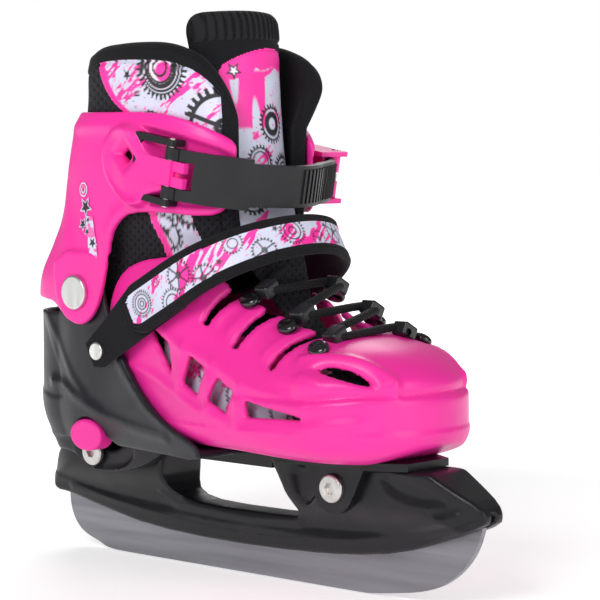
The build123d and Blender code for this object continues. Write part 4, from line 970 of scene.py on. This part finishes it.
def thread(px, py, nx, ny, high, low, s):
    """Row of short stitches along both edges of the instep strap, one small pill each."""
    places = []
    for at in np.arange(13, s[-1] - 8, 2.9):
        i = int(np.searchsorted(s, at))
        for level in (high[i, 0] - 2.4, low[i, 0] + 2.4):
            places.append((i, level))
    for a in np.arange(100, 261, 17):
        turn = math.radians(a)
        i = int(np.searchsorted(s, 12 + 9.6 * math.cos(turn)))
        places.append((i, 9.6 * math.sin(turn)))
    points, faces = [], []
    for i, level in places:
        j = min(i + 4, len(s) - 1)
        base = np.array([[px[i], py[i]], [px[j], py[j]]])
        normal = np.array([nx[i, 0], ny[i, 0]])
        for rise, spread in ((2.0, 0.0), (1.75, 0.34), (1.75, -0.34)):
            for end_ in base:
                spot = end_ + normal * rise
                points.append(instep_world(spot[0], spot[1], level + spread))
        k = len(points) - 6
        faces += [(k, k + 1, k + 3, k + 2), (k + 1, k, k + 4, k + 5), (k + 2, k + 3, k + 5, k + 4)]
    piece = mesh_object("strap_stitches", np.array(points), faces, [M["lining"]], None)
    bend_at_peel(piece)


def vamp():
    pitch = 1.0
    low, high = (-130, -42, 66), (96, 42, 124)
    x, y, z = spaced(low, high, pitch)
    halves = [(-100, 26.6), (-75, 28.6), (-45, 29.6), (-15, 32.6), (10, 36), (40, 38.2), (50, 38.2)]
    crowns = [(-127, 118), (-98, 132), (-45, 138), (-15, 130), (10, 120), (40, 108), (62, 103), (93, 94)]
    form = foot_form(x, y, z, halves, crowns, [(-120, 2.4), (90, 2.4)], 88.0, 68.5, (-100, 1.0), (50, 0.89))
    skin = even(form, pitch)
    body = smax(skin, -(skin + 3.6), 0.8)
    way = inside([(-128, -0.5), (-118, -15), (-100, -23), (-5, -25), (20, -15), (26, 0), (20, 15), (-5, 25),
                  (-100, 23), (-118, 15), (-128, 0.5)], x, y)
    body = smax(body, -smax(way, 97 - z, 1.0), 1.5)
    body = smax(body, z - 119, 1.0)
    room = smax(np.abs(x - BUTTON[0]) - 14, smax(y + 16.5, z - 71, 0.5), 0.5)
    body = smax(body, -room, 0.5)
    points, quads = surface(body, low, pitch)
    u, v = points[:, 0], points[:, 2]
    paint = splashed(u, v, 14, 0.42)
    gears = (((-22, 106), 7, 20, 6), ((-2, 96), 6, 18), ((18, 87), 6, 18, 4), ((46, 82), 6, 22),
            ((58, 84), 6, 22, 4))
    ink = inked(0 * u, u, v, gears, ring=0.25, soft=0.5)
    paint = mixed(paint, INK, ink)
    centre = points[quads].mean(axis=1)
    cx, cy, cz = centre.T
    zone = (np.abs(cy) > 24) & (cx > -34) & (cx < 64) & (cz < 112) & (cz > 76)
    mesh_object("vamp_look", points, quads, [M["mesh"], M["print"]], "chassis", "liner_vamp", zone.astype(int),
            paint)


def footbed():
    pitch = 1.0
    low, high = (-121, -28, 69), (87, 28, 77)
    x, y, z = spaced(low, high, pitch)
    plan = inside(rounded([(-117, 0), (-113, 11), (-98, 17), (-40, 18), (30, 24), (60, 24), (78, 15), (83, 0),
            (78, -15), (60, -24),
                           (30, -24), (-40, -18), (-98, -17), (-113, -11)], 2), x, y)
    crown = 74.6 + 0.15 * np.cos(x / 9.0) * bell(y, 14.0)
    body = smax(plan, np.maximum(z - crown, 71.1 - z), 2.2)
    piece = field_object("footbed_look", body, low, pitch, M["foam"], "chassis", "footbed")


# ---------------------------------------------------------------- laces, caps and sticker


LACE_LOOPS = [(22.0, 132.5), (43.0, 122.5), (62.0, 114.0)]
CAP_PLACES = [(16.5, 25.5, 128.6), (40, 26.5, 118.2), (62.5, 31.5, 110.2)]


def laces():
    """The lace as one smooth round cord through its loops."""
    points = [(24.0, -10.0, 143.0)]
    for x, z in LACE_LOOPS:
        near, far = (x, -19.0, z + 1.5), (x + 6, 19.0, z + 1.5)
        for at in (near, far):
            points += [(at[0] - 3.8, at[1] * 0.9, at[2] + 1.4), (at[0] - 2.5, at[1] * 1.06, at[2] + 0.6),
                       (at[0] + 2.5, at[1] * 1.06, at[2] - 0.8), (at[0] + 3.8, at[1] * 0.9, at[2] - 0.8)]
    data = bpy.data.curves.new("laces_look", "CURVE")
    data.dimensions = "3D"
    line = data.splines.new("NURBS")
    line.points.add(len(points) - 1)
    for point, spot in zip(line.points, points):
        point.co = (*[c * 0.001 for c in spot], 1)
    line.order_u, line.use_endpoint_u = 3, True
    data.bevel_depth, data.bevel_resolution, data.resolution_u = 0.0019, 5, 12
    data.materials.append(M["lace"])
    piece = bpy.data.objects.new("laces_look", data)
    bpy.context.scene.collection.objects.link(piece)
    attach(piece, "toe_section")
    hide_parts("laces")


def lace_caps():
    """Glossy domed ovals beside the throat, each with two pale arc marks."""
    lat = np.linspace(-math.pi / 2, math.pi / 2, 21)
    lat, lon = np.meshgrid(lat, np.linspace(0, 2 * math.pi, 40, endpoint=False), indexing="ij")
    level = np.sign(np.sin(lat)) * np.abs(np.sin(lat)) ** 0.8
    round_ = np.cos(lat) ** 0.7
    local = np.stack([5.7 * round_ * np.cos(lon), 4.4 * round_ * np.sin(lon), 2.5 * level], axis=-1)
    for side, word in ((-1, "near"), (1, "far")):
        points, faces, marks, mark_faces = [], [], [], []
        tilt = math.radians(side * -38)
        turn = math.radians(side * 16)
        for px, py, pz in CAP_PLACES:
            centre = np.array([px + (5 if side > 0 else 0), side * py, pz])

            def put(p):
                spun = np.stack([p[..., 0] * math.cos(turn) - p[..., 1] * math.sin(turn),
                                 p[..., 0] * math.sin(turn) + p[..., 1] * math.cos(turn), p[..., 2]], axis=-1)
                return centre + np.stack([spun[..., 0],
                        spun[..., 1] * math.cos(tilt) - spun[..., 2] * math.sin(tilt),
                                          spun[..., 1] * math.sin(tilt) + spun[..., 2] * math.cos(tilt)],
                                          axis=-1)

            base = sum(len(p) for p in points)
            points.append(put(local).reshape(-1, 3))
            faces.append(loop_faces(21, 40) + base)
            for radius in (2.6, 3.5):
                a = np.linspace(0.5, 2.0, 14)[:, None]
                r = radius + np.array([[-0.16, 0.16]])
                flat = np.stack([r * np.cos(a) * 1.2, r * np.sin(a) * 0.85, 0 * a * r], axis=-1)
                q = np.clip(1 - (flat[..., 0] / 5.7) ** 2 - (flat[..., 1] / 4.4) ** 2, 0.05, 1)
                flat[..., 2] = 2.5 * q ** 0.42 + 0.12
                base = sum(len(p) for p in marks)
                marks.append(put(flat).reshape(-1, 3))
                k = np.arange(13) * 2 + base
                mark_faces.append(np.stack([k, k + 2, k + 3, k + 1], axis=1))
        mesh_object(f"caps_look_{word}", np.concatenate(points), np.concatenate(faces), [M["cap"]],
                "toe_section",
                    f"lace_caps_{word}")
        mesh_object(f"cap_marks_{word}", np.concatenate(marks), np.concatenate(mark_faces), [M["mark"]],
                "toe_section")


def sticker():
    """Thin printed sticker on the cuff's near side: stars, a swirl and a paint streak."""
    u, v = np.meshgrid(np.arange(-83, -62, 0.3), np.arange(142, 182, 0.3), indexing="ij")
    back, front = curve(CUFF_ROWS["back"], v), curve(CUFF_ROWS["front"], v)
    middle, reach = (back + front) / 2, (front - back) / 2
    n = curve(CUFF_ROWS["power"], v)
    wide = curve(CUFF_ROWS["half"], v) * (1 - np.abs((u - middle) / reach) ** n) ** (1 / n)
    points = np.stack([u, -wide - 0.45, v], axis=-1)
    run = u + 76 - (177 - v) * 0.16
    streak = step(3.0 - np.abs(run - 1.4 - 0.8 * noise(v / 2.2, u / 2, 3)) - 0.8 * noise(u / 0.8, v / 3, 9),
            0.3)
    streak = streak * step(164 - v, 1.5) * step(v - 145, 1.5)
    black, pale = 0 * u, streak
    for centre, radius in (((-75, 168.5), 4.0), ((-77, 160.5), 2.8), ((-73.5, 157), 1.9), ((-69.5, 152), 2.7),
            ((-73, 162.5), 1.6)):
        black = np.maximum(black, star(u, v, centre, radius, 0.2))
        pale = np.maximum(pale, star(u, v, centre, radius * 1.32, 0.2))
    swirl = np.hypot(u + 77, v - 176.5)
    pale = np.maximum(pale, step(0.28 - np.abs(swirl - 3.0), 0.1))
    pale = np.maximum(pale, step(0.28 - np.abs(swirl - 1.5), 0.1))
    paint = mixed(np.ones(u.shape + (3,)) * np.array(LILAC), INK, black)
    paint = mixed(paint, PINK, 0.8 * step(noise(u / 2.0, v / 1.6, 21) - 0.66, 0.04) * (1 - black))
    keep = (np.maximum(black, pale) > 0.5).ravel()
    rows, columns = u.shape
    r, c = np.arange(rows - 1)[:, None] * columns, np.arange(columns - 1)[None, :]
    faces = np.stack([r + c, r + c + columns, r + c + columns + 1, r + c + 1], axis=-1).reshape(-1, 4)
    faces = faces[keep[faces].sum(axis=1) >= 2]
    used, index = np.unique(faces, return_inverse=True)
    mesh_object("cuff_sticker", points.reshape(-1, 3)[used], index.reshape(-1, 4), [M["print"]], "cuff", None,
            None,
                paint.reshape(-1, 3)[used])


# ---------------------------------------------------------------- carried-over nodes


def dress(node, material):
    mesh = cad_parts[node].data
    mesh.materials.clear()
    mesh.materials.append(M[material])
    for polygon in mesh.polygons:
        polygon.material_index = 0


CARRIED = {
    "blade": "steel", "sole_plate": "black", "front_bolt": "zinc", "front_nut": "zinc", "rear_bolt": "zinc",
    "rear_nut": "zinc", "sole_screw": "zinc", "button_spring": "zinc", "slide_screws": "zinc",
    "ankle_rivet_near": "rivet", "ankle_rivet_far": "rivet", "strap_rivets": "rivet", "loop_band": "tape",
    "adjuster_rack": "black", "rack_screws": "zinc", "lace_loops_near": "loop", "lace_loops_far": "loop",
    "size_button": "pink", "size_latch": "black", "strap_anchor": "strap", "strap_arm": "pink",
    "hinge_pin": "zinc",
    "buckle_base": "pink", "lever_pin": "zinc", "lever_spring": "zinc", "ladder_strap": "strap",
    "buckle_lever": "pink", "drive_pawl": "black", "hook_patch": "tape",
}


def main():
    camera()
    studio()
    for node, material in CARRIED.items():
        dress(node, material)
    toe_shell()
    cuff()
    heel_base()
    blade_holder()
    collar()
    tongue()
    instep_strap()
    vamp()
    footbed()
    laces()
    lace_caps()
    sticker()


main()
